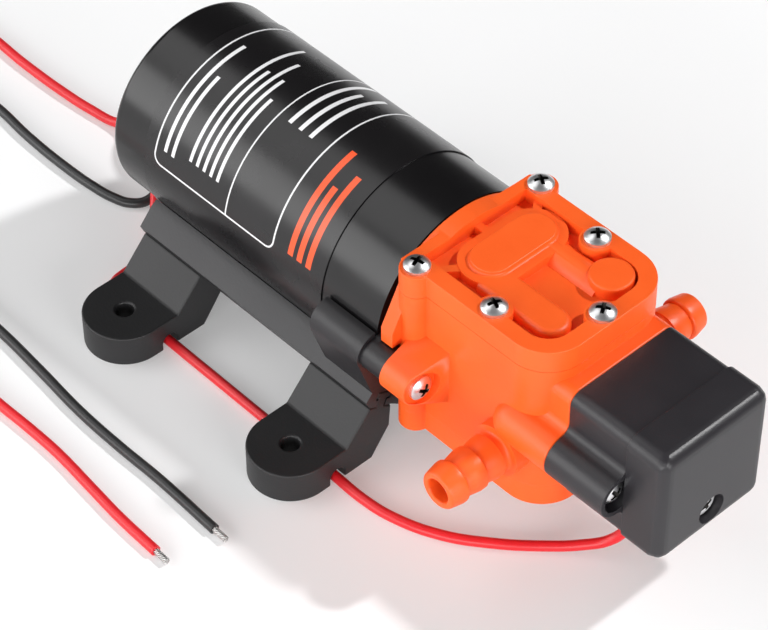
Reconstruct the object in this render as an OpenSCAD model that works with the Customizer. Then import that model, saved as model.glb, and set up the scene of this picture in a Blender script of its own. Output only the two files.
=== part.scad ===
// Diaphragm water pump for a caravan: a motor on a rubber-footed bracket drives a twin-chamber
// pump head with two hose barbs, and a pressure switch on the nose starts and stops it.
// Millimetres. X runs along the motor towards the switch, Y across the pump, Z up.
// The origin is on the floor, in the middle of the four foot holes.

/* [Motor] */
// Outside diameter of the motor
motor_d = 49.6; // [47:0.2:52]
// Length of the motor, rear face to front face
motor_len = 89.8; // [84:0.1:96]
// Height of the motor axis above the floor
axis_h = 35.6; // [34.6:0.1:38]
// Wall of the motor can
can_wall = 1.6; // [1.2:0.1:2]
// Depth of the rear cap behind the can
rear_cap_len = 4.6; // [4:0.1:5.6]
// Rounding of the rear cap's rim
rear_round = 1.6; // [1:0.1:3]
// Distance from the rear face to the label film
label_inset = 11.7; // [10:0.1:14]
// Length of the label film along the motor
label_len = 60.5; // [50:0.1:66]
// Thickness of the label film
label_t = 0.25; // [0.15:0.05:0.4]
// Diameter of the motor shaft
shaft_d = 4; // [3:0.1:5]
// Diameter of the armature core
core_d = 33.6; // [30:0.2:34]
// Length of the armature core
core_len = 36; // [30:1:40]
// Number of armature slots and commutator bars
slot_count = 5; // [3:2:7]
// Diameter of the commutator
commutator_d = 12; // [11:0.2:13]
// Thickness of the two magnets
magnet_t = 5.2; // [4:0.1:5.4]
// Thickness of the flange between motor and pump head
flange_t = 1.8; // [1.5:0.1:3]

/* [Bracket] */
// Thickness of the saddle under the motor
saddle_t = 2.6; // [2:0.1:3.4]
// How far the rails stand out beyond the motor's side
rail_reach = 3.1; // [2.6:0.1:4]
// Drop from the motor axis to the rails' outer edge
rail_drop = 16.7; // [16:0.1:17.4]
// Width of the slanted rail face, seen from above
rail_face_w = 3.6; // [3:0.1:4]
// Height of the slanted rail face
rail_face_h = 4.1; // [3.5:0.1:4.5]
// Height of the lip under the rail face
rail_lip_h = 2.3; // [2:0.1:3]
// Width of the seat where a foot meets the rail
seat_w = 6.5; // [6.2:0.1:7.2]
// Rise of that seat from inside to outside
seat_rise = 3.1; // [2.6:0.1:3.6]
// Diameter of the round boss at the front of each rail
boss_d = 10.2; // [9:0.1:11]
// Length of that boss
boss_len = 15.4; // [10:0.1:20]

/* [Feet] */
// Distance between the foot holes along the pump
foot_pitch = 57.6; // [52:0.1:62]
// Distance between the foot holes across the pump
foot_spread = 83.4; // [82:0.1:90]
// Length of a foot along the rail, and width of its round end
foot_len = 20; // [18:0.2:24]
// Thickness of the foot's pad
pad_t = 8.4; // [7:0.1:9]
// Diameter of the foot's hole
foot_hole_d = 4.4; // [3.5:0.1:5]
// Distance from the rail's outer edge to the foot of the leg's slope
leg_run = 6.1; // [5:0.1:7]
// Width of the wire notch under a foot
notch_w = 4.2; // [4:0.1:4.6]
// Height of the wire notch under a foot
notch_h = 3.9; // [3.4:0.1:4.4]
// Width of the tongue's head that slides in the rail
tongue_w = 4.2; // [3.6:0.1:4.6]
// Height of the tongue
tongue_h = 3.8; // [3.2:0.1:4]

/* [Pump head] */
// Width of the pump head across the covers
head_w = 38.6; // [38:0.1:42]
// Length of the pump head, rear wall to front wall
head_len = 44; // [43:0.1:48]
// Radius of the head's front corners
head_corner = 10; // [7:0.1:12]
// Distance from the motor axis to the joint under each cover
body_half = 17.6; // [17.4:0.1:19]
// Thickness of a cover's rim
cover_t = 5.9; // [5.2:0.1:6.6]
// Depth of the sunk field in a cover
pocket_depth = 3.2; // [2:0.1:3.4]
// Width of the cover's rim beside the sunk field
rim_w = 4.1; // [3.6:0.1:4.6]
// Distance from the head's rear wall to the axis of the diaphragms
chamber_in = 22.8; // [22.4:0.1:24]
// Radius of the diaphragms and valve plates
diaphragm_r = 13.3; // [12.6:0.1:13.5]
// Thickness of a diaphragm
diaphragm_t = 1.8; // [1.4:0.1:2]
// Height of the pumping chamber above the diaphragm
chamber_h = 3.8; // [3.6:0.1:4]
// Thickness of the valve plate's roof
plate_roof = 1.4; // [1.2:0.1:1.6]
// Radius of the clamp discs on the diaphragms
clamp_r = 6.5; // [5:0.1:6.8]
// Throw of the eccentric
throw = 1.2; // [0.6:0.1:1.3]
// Width of the yoke's ring along the shaft
yoke_w = 5.8; // [5.4:0.1:6.4]
// Diameter of the eccentric's journal
journal_d = 8; // [7.6:0.1:8.4]
// Wall of the yoke's ring round its bearing
yoke_wall = 1.6; // [1.2:0.1:2]
// Width of the yoke bearing
bearing_w = 5; // [4:0.1:5]

/* [Ports] */
// Distance between the tips of the two hose barbs
barb_span = 79; // [72:0.5:90]
// Height of the barbs below the motor axis
barb_drop = 8.4; // [7.4:0.1:9]
// Distance from the head's front wall back to the barbs
barb_back = 11.3; // [10.8:0.1:12.4]
// Largest diameter of a barb
barb_d = 10.4; // [9:0.1:11]
// Diameter of the water way in a barb
barb_bore_d = 5.9; // [5:0.1:6.4]
// Number of teeth on a barb
barb_teeth = 3; // [2:1:4]

/* [Pressure switch] */
// Width of the switch cap
switch_w = 32.4; // [30:0.1:34]
// Height of the switch cap
switch_h = 31.4; // [30:0.1:33]
// Length of the switch housing
housing_len = 16.6; // [15:0.1:18]
// Length of the switch cap
cap_len = 10.7; // [10.2:0.1:14]
// Radius of the switch's long edges
switch_round = 3; // [1.5:0.1:4]
// Radius of the edges round the cap's front face
cap_round = 2; // [1:0.1:2.4]
// Wall of the switch housing and cap
switch_wall = 1.5; // [1.2:0.1:1.8]
// Distance between the two switch screws
switch_pitch = 35; // [34.6:0.1:36]
// Diameter of the screw tubes on the switch
tube_d = 10.6; // [10:0.1:11.4]
// Height of the adjusting screw above the cap's lower edge
adjuster_rise = 6.3; // [5.8:0.1:6.6]
// Diameter of the hole over the adjusting screw
adjuster_hole_d = 7.4; // [7:0.1:7.6]
// Depth of the adjusting screw's seat below the front of the cap
adjuster_sink = 4.5; // [3.2:0.1:4.8]
// Travel of the switch plunger
plunger_travel = 1; // [0.5:0.1:1.2]

/* [Fasteners] */
// Head diameter of the screws
head_d = 6; // [5.4:0.1:6.2]
// Head height of the screws
head_h = 2; // [1.6:0.1:2.2]
// Shank diameter of the screws
shank_d = 3; // [2.5:0.1:3.2]
// Length of the cover screws
cover_screw_len = 12; // [9:0.5:14]
// Length of the ear screws
ear_screw_len = 13.4; // [10:0.1:14]
// Length of the switch screws
switch_screw_len = 22; // [18:0.5:24]

/* [Leads] */
// Outside diameter of the leads
lead_d = 2.5; // [2:0.1:2.6]
// Diameter of the tinned ends
tinned_d = 1.6; // [1:0.1:1.8]
// Length of the tinned ends
tinned_len = 4; // [3:0.5:8]

/* [Hidden] */
$fn = 64;

// Colours
BLACK = "#2c2c30";
RUBBER = "#232325";
ORANGE = "#f4602a";
STEEL = "#c9cbce";
COPPER = "#b8713a";
RED = "#d4202c";

// Clearances: running fit, sliding fit, loose gap, seat under the rail
run_fit = 0.03;
slip = 0.1;
gap = 0.3;
slide_gap = 0.2;

// Stations along X
rail_half = (foot_pitch + foot_len) / 2;
motor_front = rail_half;
motor_rear = motor_front - motor_len;
head_rear = motor_front + flange_t;
head_front = head_rear + head_len;
nose_reach = 3.4;
nose_front = head_front + nose_reach;
seam_x = nose_front + housing_len;
cap_front = seam_x + cap_len;
chamber_x = head_rear + chamber_in;
barb_x = head_front - barb_back;

// Radii and heights of the motor
motor_r = motor_d / 2;
can_in_r = motor_r - can_wall;
saddle_r = motor_r + slip + label_t + slip;
spigot_r = 7.8;
spigot_len = 3.6;
can_front_t = 2;
shaft_r = shaft_d / 2;

// Places of the wire holes in the rear cap: Y values and height
wire_ys = [-4, 2, 8];
wire_z = axis_h - 14.6;
grommet_flange_t = 1.5;

// Ear screws and the bosses behind them
ear_y = motor_r + 0.9;
ear_z = axis_h - 1.6;
ear_r = 4.8;
ear_in = 5.2;
ear_t = 7.4;
flange_boss_r = 4;
boss_y = motor_r + 0.5;

// Motor's inner places: cap floor, bush bore, brushes, commutator and end turns
cap_floor_t = 2;
bush_wall = 3;
brush_in = 12;
brush_half = 3;
brush_box_wall = 1.6;
commutator_in = 8;
end_turn_r = 4.4;
end_turn_gap = 0.6;
brush_x = motor_rear + rear_cap_len + brush_in;
core_shift = 6.4;
core_mid = (motor_rear + motor_front) / 2 + core_shift;
slot_in = 5.8;
slot_r = 4;
slot_ring = core_d / 2 - slot_in;
holder_half = 4;
brush_rise = 2;
brush_stop = 4;

// Rail profile on the +Y side, as Y and Z
rail_out = [motor_r + rail_reach, axis_h - rail_drop];
rail_top = [rail_out.x - rail_face_w, rail_out.y + rail_face_h];
rail_low = [rail_out.x - 1, rail_out.y - rail_lip_h];
seat_in = [rail_low.x - seat_w, rail_low.y - seat_rise];
rail_crown = [motor_r * cos(27), axis_h - motor_r * sin(27) + 0.2];
saddle_low = axis_h - motor_r - saddle_t;
seat_mid = (rail_low + seat_in) / 2;
seat_angle = atan2(seat_rise, seat_w);
tongue_neck = 2.4;
tongue_head_h = 1.8;

// Foot places
foot_y = foot_spread / 2;
pad_in = rail_out.x + leg_run;
leg_floor_in = pad_in - 7.7;
leg_knee = [leg_floor_in - 5.4, 7];
notch_y = pad_in + 2.6;

// Cover screws as X, Y
side_y = head_w / 2;
rear_screw = [head_rear + 4.2, side_y - 0.8];
mid_screw = [chamber_x + 1.5, side_y - 3.9];
front_screw = [head_front - 3.2, 0];
COVER_SCREWS = [rear_screw, [rear_screw.x, -rear_screw.y], mid_screw, [mid_screw.x, -mid_screw.y],
    front_screw];
column_r = 3.9;
cover_boss_r = 4;

// Stack from the motor axis outwards, as heights above the axis
stack_plate_top = body_half;
stack_roof = stack_plate_top - plate_roof;
stack_diaphragm_top = stack_roof - chamber_h;
stack_diaphragm = stack_diaphragm_top - diaphragm_t;
clamp_t = 1.2;
chamber_r = diaphragm_r - 2.8;
crank_r = diaphragm_r - 1.5;
yoke_room = 1;
yoke_r = stack_diaphragm - yoke_room;
bearing_d = 2 * (yoke_r - yoke_wall);
seat_r = diaphragm_r + slip;
valve_y = chamber_r - 3.7;
valve_r = 3.2;
valve_t = 0.8;
duct = [barb_x + 2.1, 10.8];
duct_r = 2.2;

// Relief on the covers
field_floor = body_half + cover_t - pocket_depth;
cover_top = body_half + cover_t;
pill_x = head_rear + 12.9;
pill_y = 1.4;
tier_h = cover_top - 1;
channel_y = 8.1;
channel_r = 4.3;
channel_h = cover_top - 0.8;
collar_t = 3.9;

// Pressure switch places
switch_z = axis_h - 0.3;
housing_inset = 0.45;
tube_y = switch_pitch / 2;
tube_z = axis_h - 1;
arm_r = tube_d / 2;
arm_len = 13;
tube_web = 6;
tube_fillet = 2.4;
screw_seat_x = seam_x - 2.6;
screw_well_r = tube_d / 2 - 1.2;
room_half = min(switch_w / 2 - housing_inset - switch_wall, tube_y - screw_well_r - 0.5);
membrane_r = 10;
membrane_t = 1.2;
plunger_r = 6.5;
plunger_flange_t = 1.7;
stem_r = 3;
spring_room = 8;
shelf_t = 2;
plunger_x = nose_front + 0.2;
spring_x = plunger_x + plunger_flange_t + slip;
shelf_x = spring_x + spring_room + slip;
button_r = 1.3;
button_out = 1.3;
micro_x = shelf_x + shelf_t + button_out + 2;
micro = [4.4, 5.8, 12.8];
adjuster_z = switch_z - switch_h / 2 + adjuster_rise;
gland_drop = 2.2;
gland = [nose_front + 10.3, -5, switch_z - switch_h / 2 + housing_inset - gland_drop];

// Lead routes, as points chosen by hand: first those that go with the grommet or the gland
wire_out = [motor_rear - grommet_flange_t, 0, wire_z];
RED_START = [[0, 8, 0], [-6.4, 8, -0.5], [-14.4, 7.5, -4], [-22.4, 6.2, -10.5]];
RED_FLOOR = [[-80, 4.6, 5], [-86, 2.8, 1.9], [-95, 1.5, 1.3], [-106, 0.6, 1.3], [-120, 0.3, 1.3],
    [-138, 0.5, 1.3], [-153, -2.5, 1.3], [-166, -11, 1.3], [-174.5, -24, 1.3], [-177.5, -39, 1.3],
    [-174.5, -54, 1.3], [-166, -67, 1.3], [-153, -75.5, 1.3], [-138, -78.5, 1.3], [-110, -78.5, 1.3],
    [-70, -78, 1.3], [-30, -77.8, 1.3], [-20, -77.5, 1.3], [-9, -77.6, 1.3], [3, -78.6, 1.3],
    [15, -79.6, 1.3], [27.5, -80, 1.3]];
BLACK_START = [[0, 2, 0], [-4.4, 2.1, -1], [-8.4, 1.8, -5], [-9.9, 0.5, -10], [-9.2, -2.5, -15]];
BLACK_FLOOR = [[-59.5, -6.5, 2.8], [-59.4, -10, 1.6], [-61.8, -13.2, 1.3], [-66, -15, 1.3],
    [-72, -16, 1.3], [-84, -16.6, 1.3], [-98, -16.3, 1.3], [-112, -15.2, 1.3], [-125, -16.2, 1.3],
    [-135, -22, 1.3], [-140.2, -30, 1.3], [-142, -39, 1.3], [-140.2, -48, 1.3], [-135, -56, 1.3],
    [-125, -61.8, 1.3], [-112, -63.2, 1.3], [-80, -63, 1.3], [-49, -63.3, 1.3], [-32, -64.5, 1.3],
    [-16, -65.9, 1.3], [-1.5, -66.2, 1.3], [12, -66, 1.3], [31.5, -66.6, 1.3]];
SWITCH_START = [[0, 0, 0], [0, 0, -3.8], [-0.7, -0.8, -8.4], [-3.3, -3, -12.8]];
SWITCH_FLOOR = [[90.5, -11.8, 2.6], [84, -17.6, 1.3], [75.6, -25.3, 1.3], [66.5, -31.6, 1.3],
    [55.4, -35.8, 1.3], [47, -36.9, 1.3], [38, -36.8, 1.3], [18, -36.7, 1.3], [0, -36.6, 1.3],
    [-18, -36.5, 1.3], [-38.6, -36.3, 1.3], [-41.4, -35.4, 1.3], [-43.2, -33.2, 1.3],
    [-43.8, -30, 1.3], [-44, -25, 1.3], [-46, -19.5, 1.3]];
SWITCH_FINISH = [[1.6, -14.6, -19.2], [-2.8, -10.6, -17], [-6, -7.2, -12.6], [-7.4, -5, -7.6],
    [-6.8, -4.1, -3], [-4, -4, -0.4], [0, -4, 0]];
RED_ROUTE = concat([for (p = RED_START) p + wire_out], RED_FLOOR);
BLACK_ROUTE = concat([for (p = BLACK_START) p + wire_out], BLACK_FLOOR);
SWITCH_ROUTE = concat([for (p = SWITCH_START) p + gland], SWITCH_FLOOR,
    [for (p = SWITCH_FINISH) p + wire_out]);
lead_sides = 8;
LEAD_REF = [0.45, 0.3, 0.84];

// Shared shapes

// Draws a flat shape in Y and Z and runs it along X
module along_x(x0, x1) {
    translate([x0, 0, 0]) rotate([90, 0, 90]) linear_extrude(x1 - x0) children();
}

module rod_x(r, x0, x1, y, z) {
    translate([x0, y, z]) rotate([0, 90, 0]) cylinder(r = r, h = x1 - x0);
}

module box_x(x0, x1, y0, y1, z0, z1) {
    translate([x0, y0, z0]) cube([x1 - x0, y1 - y0, z1 - z0]);
}

module rounded_rect(w, h, r) {
    square([w - 2 * r, h], center = true);
    square([w, h - 2 * r], center = true);
    for (sx = [-1, 1], sy = [-1, 1])
        translate([sx * (w / 2 - r), sy * (h / 2 - r)]) circle(r);
}

// Repeats its children on both sides of the pump
module both_sides() {
    children();
    mirror([0, 1, 0]) children();
}

// Places a stack part above the motor axis, or mirrored below it
module stacked(side) {
    translate([0, 0, axis_h]) mirror([0, 0, side < 0 ? 1 : 0]) children();
}

// Pan-head screw with a cross recess: head upwards from z = 0, shank downwards
module pan_screw(len) {
    recess_w = head_d / 8;
    recess_l = head_d * 0.55;
    dome_r = (pow(head_d / 2, 2) + pow(head_h, 2)) / (2 * head_h);
    difference() {
        rotate_extrude() intersection() {
            translate([0, head_h - dome_r]) circle(dome_r);
            square([head_d / 2, head_h]);
        }
        for (a = [0, 90])
            rotate(a) translate([-recess_l / 2, -recess_w / 2, head_h * 0.45])
                cube([recess_l, recess_w, head_h]);
    }
    translate([0, 0, -len]) cylinder(d = shank_d, h = len + head_h * 0.2);
}

module screw_x(x, y, z, len) {
    translate([x, y, z]) rotate([0, 90, 0]) pan_screw(len);
}

// Sweeps a round tube along a list of points
function unit(v) = v / norm(v);
function tangent(p, i) = unit(p[min(i + 1, len(p) - 1)] - p[max(i - 1, 0)]);
function ring(c, t, r) =
    let (u = unit(cross(LEAD_REF, t)), v = cross(t, u))
    [for (k = [0 : lead_sides - 1])
        let (a = 360 * k / lead_sides) c + r * (cos(a) * u + sin(a) * v)];

module tube(route, d) {
    n = len(route);
    points = [for (i = [0 : n - 1]) each ring(route[i], tangent(route, i), d / 2)];
    walls = [for (i = [0 : n - 2], k = [0 : lead_sides - 1])
        let (a = i * lead_sides + k, b = i * lead_sides + (k + 1) % lead_sides)
        each [[a, a + lead_sides, b + lead_sides], [a, b + lead_sides, b]]];
    first = [for (k = [1 : lead_sides - 2]) [0, k, k + 1]];
    base = (n - 1) * lead_sides;
    last = [for (k = [1 : lead_sides - 2]) [base, base + k + 1, base + k]];
    polyhedron(points, concat(walls, first, last));
}

module tinned_end(route) {
    last = route[len(route) - 1];
    turn = tangent(route, len(route) - 1);
    translate(last) rotate([0, 90, atan2(turn.y, turn.x)]) cylinder(d = tinned_d, h = tinned_len);
}

// Motor

module motor_can() {
    color(BLACK) difference() {
        union() {
            rod_x(motor_r, motor_rear + rear_cap_len, motor_front, 0, axis_h);
            rod_x(spigot_r, motor_front, motor_front + spigot_len, 0, axis_h);
        }
        rod_x(can_in_r, motor_rear + rear_cap_len - 1, motor_front - can_front_t, 0, axis_h);
        rod_x(shaft_r + bush_wall, motor_front - can_front_t - 1, motor_front + spigot_len + 1, 0, axis_h);
    }
}

// Cup-shaped cap with a spigot in the can, a bush seat, brush boxes and a slot for the grommet
module rear_cap() {
    spigot_in = 3;
    bush_len = 5;
    box_end = brush_x + brush_half + brush_box_wall;
    color(BLACK) difference() {
        union() {
            translate([motor_rear, 0, axis_h]) rotate([0, 90, 0]) rotate_extrude() {
                square([motor_r - rear_round, rear_cap_len]);
                translate([0, rear_round]) square([motor_r, rear_cap_len - rear_round]);
                translate([motor_r - rear_round, rear_round]) circle(rear_round);
            }
            rod_x(can_in_r - slip, motor_rear + rear_cap_len, motor_rear + rear_cap_len + spigot_in,
                0, axis_h);
            both_sides() box_x(motor_rear + cap_floor_t, box_end, commutator_d / 2 + 2, can_in_r - 3,
                axis_h - holder_half, axis_h + holder_half);
        }
        rod_x(shaft_r + bush_wall, motor_rear + cap_floor_t, box_end + 1, 0, axis_h);
        rod_x(commutator_d / 2 + 1.5, motor_rear + cap_floor_t + bush_len, box_end + 1, 0, axis_h);
        both_sides() box_x(brush_x - brush_half, brush_x + brush_half, commutator_d / 2, can_in_r,
            axis_h - brush_rise, axis_h + brush_rise);
        along_x(motor_rear - 1, motor_rear + rear_cap_len + spigot_in + 1) grommet_outline(slip);
    }
}

module grommet_outline(grow) {
    mid_y = (wire_ys[0] + wire_ys[2]) / 2;
    translate([mid_y, wire_z])
        rounded_rect(wire_ys[2] - wire_ys[0] + lead_d + 2 + 2 * grow, lead_d + 2 + 2 * grow,
            lead_d / 2 + 0.9);
}

module wire_grommet() {
    flange_grow = 1;
    color(RUBBER) difference() {
        union() {
            along_x(motor_rear - grommet_flange_t, motor_rear) grommet_outline(flange_grow);
            along_x(motor_rear - 0.2, motor_rear + rear_cap_len) grommet_outline(0);
        }
        for (y = wire_ys)
            rod_x(lead_d / 2 + slip, motor_rear, motor_rear + rear_cap_len + 1, y, wire_z);
    }
}

// Film wrapped round the can
module motor_label() {
    x0 = motor_rear + label_inset;
    color("#38383c") difference() {
        rod_x(motor_r + slip / 2 + label_t, x0, x0 + label_len, 0, axis_h);
        rod_x(motor_r + slip / 2, x0 - 1, x0 + label_len + 1, 0, axis_h);
    }
}

module magnets() {
    len = core_len + 6;
    half_angle = 62;
    reach = can_in_r * 2;
    color("#5a5a5e") both_sides() intersection() {
        difference() {
            rod_x(can_in_r - slip, core_mid - len / 2, core_mid + len / 2, 0, axis_h);
            rod_x(can_in_r - slip - magnet_t, core_mid - len / 2 - 1, core_mid + len / 2 + 1, 0, axis_h);
        }
        along_x(core_mid - len, core_mid + len) translate([0, axis_h])
            polygon([[0, 0], [reach * cos(half_angle), -reach * sin(half_angle)], [reach, -reach],
                [reach, reach], [reach * cos(half_angle), reach * sin(half_angle)]]);
    }
}

module brushes() {
    len = can_in_r - brush_stop - commutator_d / 2;
    rise = brush_rise - slip;
    half = brush_half - slip;
    color("#4a4a4c") both_sides() difference() {
        box_x(brush_x - half, brush_x + half, commutator_d / 2 - 1, commutator_d / 2 + len,
            axis_h - rise, axis_h + rise);
        rod_x(commutator_d / 2 + slip, brush_x - 5, brush_x + 5, 0, axis_h);
    }
}

// Sintered bushes in the rear cap and in the can's spigot
module motor_bushes() {
    bush_len = 4.6;
    seats = [motor_rear + cap_floor_t + slip, motor_front + spigot_len - bush_len];
    color(COPPER) for (x = seats) difference() {
        rod_x(shaft_r + bush_wall - slip / 2, x, x + bush_len, 0, axis_h);
        rod_x(shaft_r + run_fit, x - 1, x + bush_len + 1, 0, axis_h);
    }
}

// Plate between motor and pump head, with a boss on each side for the ear screws
module motor_flange() {
    plate_r = 17;
    color(BLACK) difference() {
        union() {
            rod_x(plate_r, motor_front, head_rear, 0, axis_h);
            both_sides() along_x(motor_front, head_rear)
                polygon([[plate_r - 6, ear_z - 7], [ear_y, ear_z - flange_boss_r],
                    [ear_y, ear_z + flange_boss_r], [plate_r - 6, ear_z + 7]]);
            both_sides() rod_x(flange_boss_r, motor_front, head_rear + ear_in, ear_y, ear_z);
        }
        rod_x(spigot_r + slip, motor_front - 1, head_rear + 1, 0, axis_h);
        both_sides() rod_x(shank_d / 2 + slip / 2, motor_front + 0.6, head_rear + ear_in + 1, ear_y, ear_z);
    }
}

module rotor_shaft() {
    color(STEEL) rod_x(shaft_r, motor_rear + cap_floor_t + 2 * slip, chamber_x + yoke_w / 2 + 0.6, 0, axis_h);
}

// Slotted core: round slots with narrow mouths
module armature_core() {
    color("#7d7f83") difference() {
        rod_x(core_d / 2, core_mid - core_len / 2, core_mid + core_len / 2, 0, axis_h);
        rod_x(shaft_r + slip / 5, core_mid - core_len, core_mid + core_len, 0, axis_h);
        for (k = [0 : slot_count - 1]) translate([0, 0, axis_h]) rotate([k * 360 / slot_count, 0, 0]) {
            rod_x(slot_r, core_mid - core_len, core_mid + core_len, 0, slot_ring);
            box_x(core_mid - core_len, core_mid + core_len, -1.1, 1.1, slot_ring, core_d);
        }
    }
}

// Coil sides in the slots, joined by rounded end turns
module armature_windings() {
    coil_r = slot_r - gap;
    color(COPPER) difference() {
        union() {
            for (k = [0 : slot_count - 1]) translate([0, 0, axis_h])
                rotate([k * 360 / slot_count, 0, 0])
                    rod_x(coil_r, core_mid - core_len / 2 - 3, core_mid + core_len / 2 + 3, 0, slot_ring);
            for (s = [-1, 1])
                translate([core_mid + s * (core_len / 2 + gap + end_turn_r), 0, axis_h])
                    rotate([0, 90, 0]) rotate_extrude() translate([slot_ring - 1, 0]) circle(end_turn_r);
        }
        rod_x(shaft_r + slip, core_mid - core_len, core_mid + core_len, 0, axis_h);
    }
}

// Bars on a hub that is pressed on the shaft
module commutator() {
    x0 = motor_rear + rear_cap_len + commutator_in;
    x1 = core_mid - core_len / 2 - gap - 2 * end_turn_r - end_turn_gap;
    color(COPPER) difference() {
        rod_x(commutator_d / 2, x0, x1, 0, axis_h);
        rod_x(shaft_r + slip / 5, x0 - 1, x1 + 1, 0, axis_h);
        for (k = [0 : slot_count - 1]) translate([0, 0, axis_h]) rotate([k * 360 / slot_count, 0, 0])
            box_x(x0 - 1, x1 - 1.5, -0.3, 0.3, commutator_d / 2 - 1, commutator_d);
    }
}

// Bracket and feet

// T-shaped tongue of a foot, and the groove that it slides in
module tongue_outline(grow) {
    translate(seat_mid) rotate(seat_angle) {
        translate([-tongue_neck / 2 - grow, -1]) square([tongue_neck + 2 * grow, tongue_h + 1 + grow]);
        translate([-tongue_w / 2 - grow, tongue_h - tongue_head_h - grow])
            square([tongue_w + 2 * grow, tongue_head_h + 2 * grow]);
    }
}

module bracket_outline() {
    polygon([[0, saddle_low], [seat_in.x - 7, saddle_low], seat_in, rail_low, rail_out, rail_top,
        rail_crown, [0, axis_h - motor_r * sin(27)]]);
}

module base_bracket() {
    web_y = boss_y + boss_d / 2 - 0.4;
    color(BLACK) both_sides() difference() {
        union() {
            along_x(-rail_half, rail_half) difference() {
                bracket_outline();
                tongue_outline(slide_gap);
            }
            along_x(rail_half - boss_len, rail_half) {
                translate([boss_y, ear_z]) circle(boss_d / 2);
                polygon([[boss_y - 4, ear_z], [rail_crown.x - 2, rail_crown.y - 2], rail_top,
                    [(rail_top.x + rail_out.x) / 2, (rail_top.y + rail_out.y) / 2],
                    [web_y, ear_z - 2]]);
            }
        }
        rod_x(saddle_r, -rail_half - 1, rail_half + 1, 0, axis_h);
    }
}

// Foot on the +Y side, with its hole at x = 0
module foot_shape() {
    lower = [0, gap];
    difference() {
        union() {
            along_x(-foot_len / 2, foot_len / 2) {
                polygon([seat_in - lower, rail_low - lower - [0.2, 0], [pad_in, pad_t], [pad_in, 0],
                    [leg_floor_in, 0], leg_knee]);
                tongue_outline(0);
            }
            linear_extrude(pad_t) {
                translate([0, foot_y]) circle(d = foot_len);
                translate([-foot_len / 2, pad_in - 1]) square([foot_len, foot_y - pad_in + 1]);
            }
        }
        translate([0, foot_y, -1]) cylinder(d = foot_hole_d, h = pad_t + 2);
        along_x(-foot_len, foot_len) {
            translate([notch_y - notch_w / 2, -1]) square([notch_w, notch_h - notch_w / 2 + 1]);
            translate([notch_y, notch_h - notch_w / 2]) circle(notch_w / 2);
        }
    }
}

module foot(end, side) {
    color(RUBBER) translate([end * foot_pitch / 2, 0, 0])
        mirror([0, side < 0 ? 1 : 0, 0]) foot_shape();
}

module foot_front_left() { foot(1, 1); }
module foot_front_right() { foot(1, -1); }
module foot_rear_left() { foot(-1, 1); }
module foot_rear_right() { foot(-1, -1); }

// Pump head

// Plan of the head with round front corners, drawn in by an inset
module head_outline(inset) {
    r = head_corner - inset;
    x0 = head_rear + inset * 0.7;
    x1 = head_front - inset;
    y = side_y - inset;
    translate([x0, -y]) square([x1 - r - x0, 2 * y]);
    translate([x0, -y + r]) square([x1 - x0, 2 * y - 2 * r]);
    for (s = [-1, 1]) translate([x1 - r, s * (y - r)]) circle(r);
}

module at_cover_screws() {
    for (p = COVER_SCREWS) translate([p.x, p.y, 0]) children();
}

// Hose barb on the +Y side: sawtooth rings on a collar
module barb() {
    collar_len = 3;
    tooth_low = barb_d / 2 - 0.7;
    land = 1.4;
    root = side_y + collar_len;
    pitch = (barb_span / 2 - root - 2) / barb_teeth;
    translate([barb_x, 0, axis_h - barb_drop]) rotate([-90, 0, 0]) rotate_extrude() {
        square([tooth_low, barb_span / 2 - pitch / 2]);
        square([barb_d / 2 + 1.2, root]);
        for (k = [0 : barb_teeth - 1]) {
            y0 = barb_span / 2 - (k + 1) * pitch;
            polygon([[0, y0], [barb_d / 2, y0], [barb_d / 2, y0 + land], [tooth_low, y0 + pitch],
                [0, y0 + pitch]]);
        }
    }
}

// Ear for the motor screw, blended into the head's side wall
module ear() {
    x0 = head_rear + ear_in;
    hull() {
        translate([x0, ear_y, ear_z]) rotate([0, 90, 0]) cylinder(r = ear_r, h = ear_t, $fn = 32);
        box_x(x0, x0 + ear_t + 2.6, side_y - 1, side_y, ear_z - 7.5, ear_z + 7.5);
    }
}

// Plate at the rear of the body that flares towards the motor
module rear_plate() {
    plate_t = 3.5;
    flare = motor_r + 0.2 - side_y;
    cut = 6.8;
    along_x(head_rear, head_rear + plate_t) difference() {
        polygon([[0, axis_h - body_half], [side_y, axis_h - body_half], [side_y + flare, axis_h - cut],
            [side_y + flare, axis_h + cut], [side_y, axis_h + body_half], [0, axis_h + body_half]]);
        translate([side_y + 0.6, ear_z - flange_boss_r - gap])
            square([flare, 2 * (flange_boss_r + gap)]);
        translate([ear_y, ear_z]) circle(flange_boss_r + gap);
    }
}

// Round arm for a switch screw, along the side of the nose
module screw_arm() {
    x0 = nose_front - arm_len;
    web_half = arm_r - 0.8;
    rod_x(arm_r, x0, nose_front, tube_y, tube_z);
    translate([x0, tube_y, tube_z]) sphere(arm_r);
    box_x(x0 + 1, nose_front, tube_y - tube_web, tube_y, tube_z - web_half, tube_z + web_half);
    along_x(head_front - 4, nose_front) tube_fillets();
}

// Hollow curve between a screw tube and the side of the nose or the switch, above and below
module tube_fillets() {
    wall = switch_w / 2 - housing_inset;
    y = wall + tube_fillet - tube_y;
    z = sqrt(pow(arm_r + tube_fillet, 2) - y * y);
    a1 = atan2(z, -y);
    for (s = [-1, 1]) translate([tube_y, tube_z]) scale([1, s])
        polygon(concat([[wall - tube_y - 1, 0], [wall - tube_y - 1, z]],
            [for (k = [0 : 6]) let (a = 180 + k / 6 * (180 - a1)) [y, z] + tube_fillet * [cos(a), sin(a)]],
            [[y / 2, z / 3]]));
}

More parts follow.
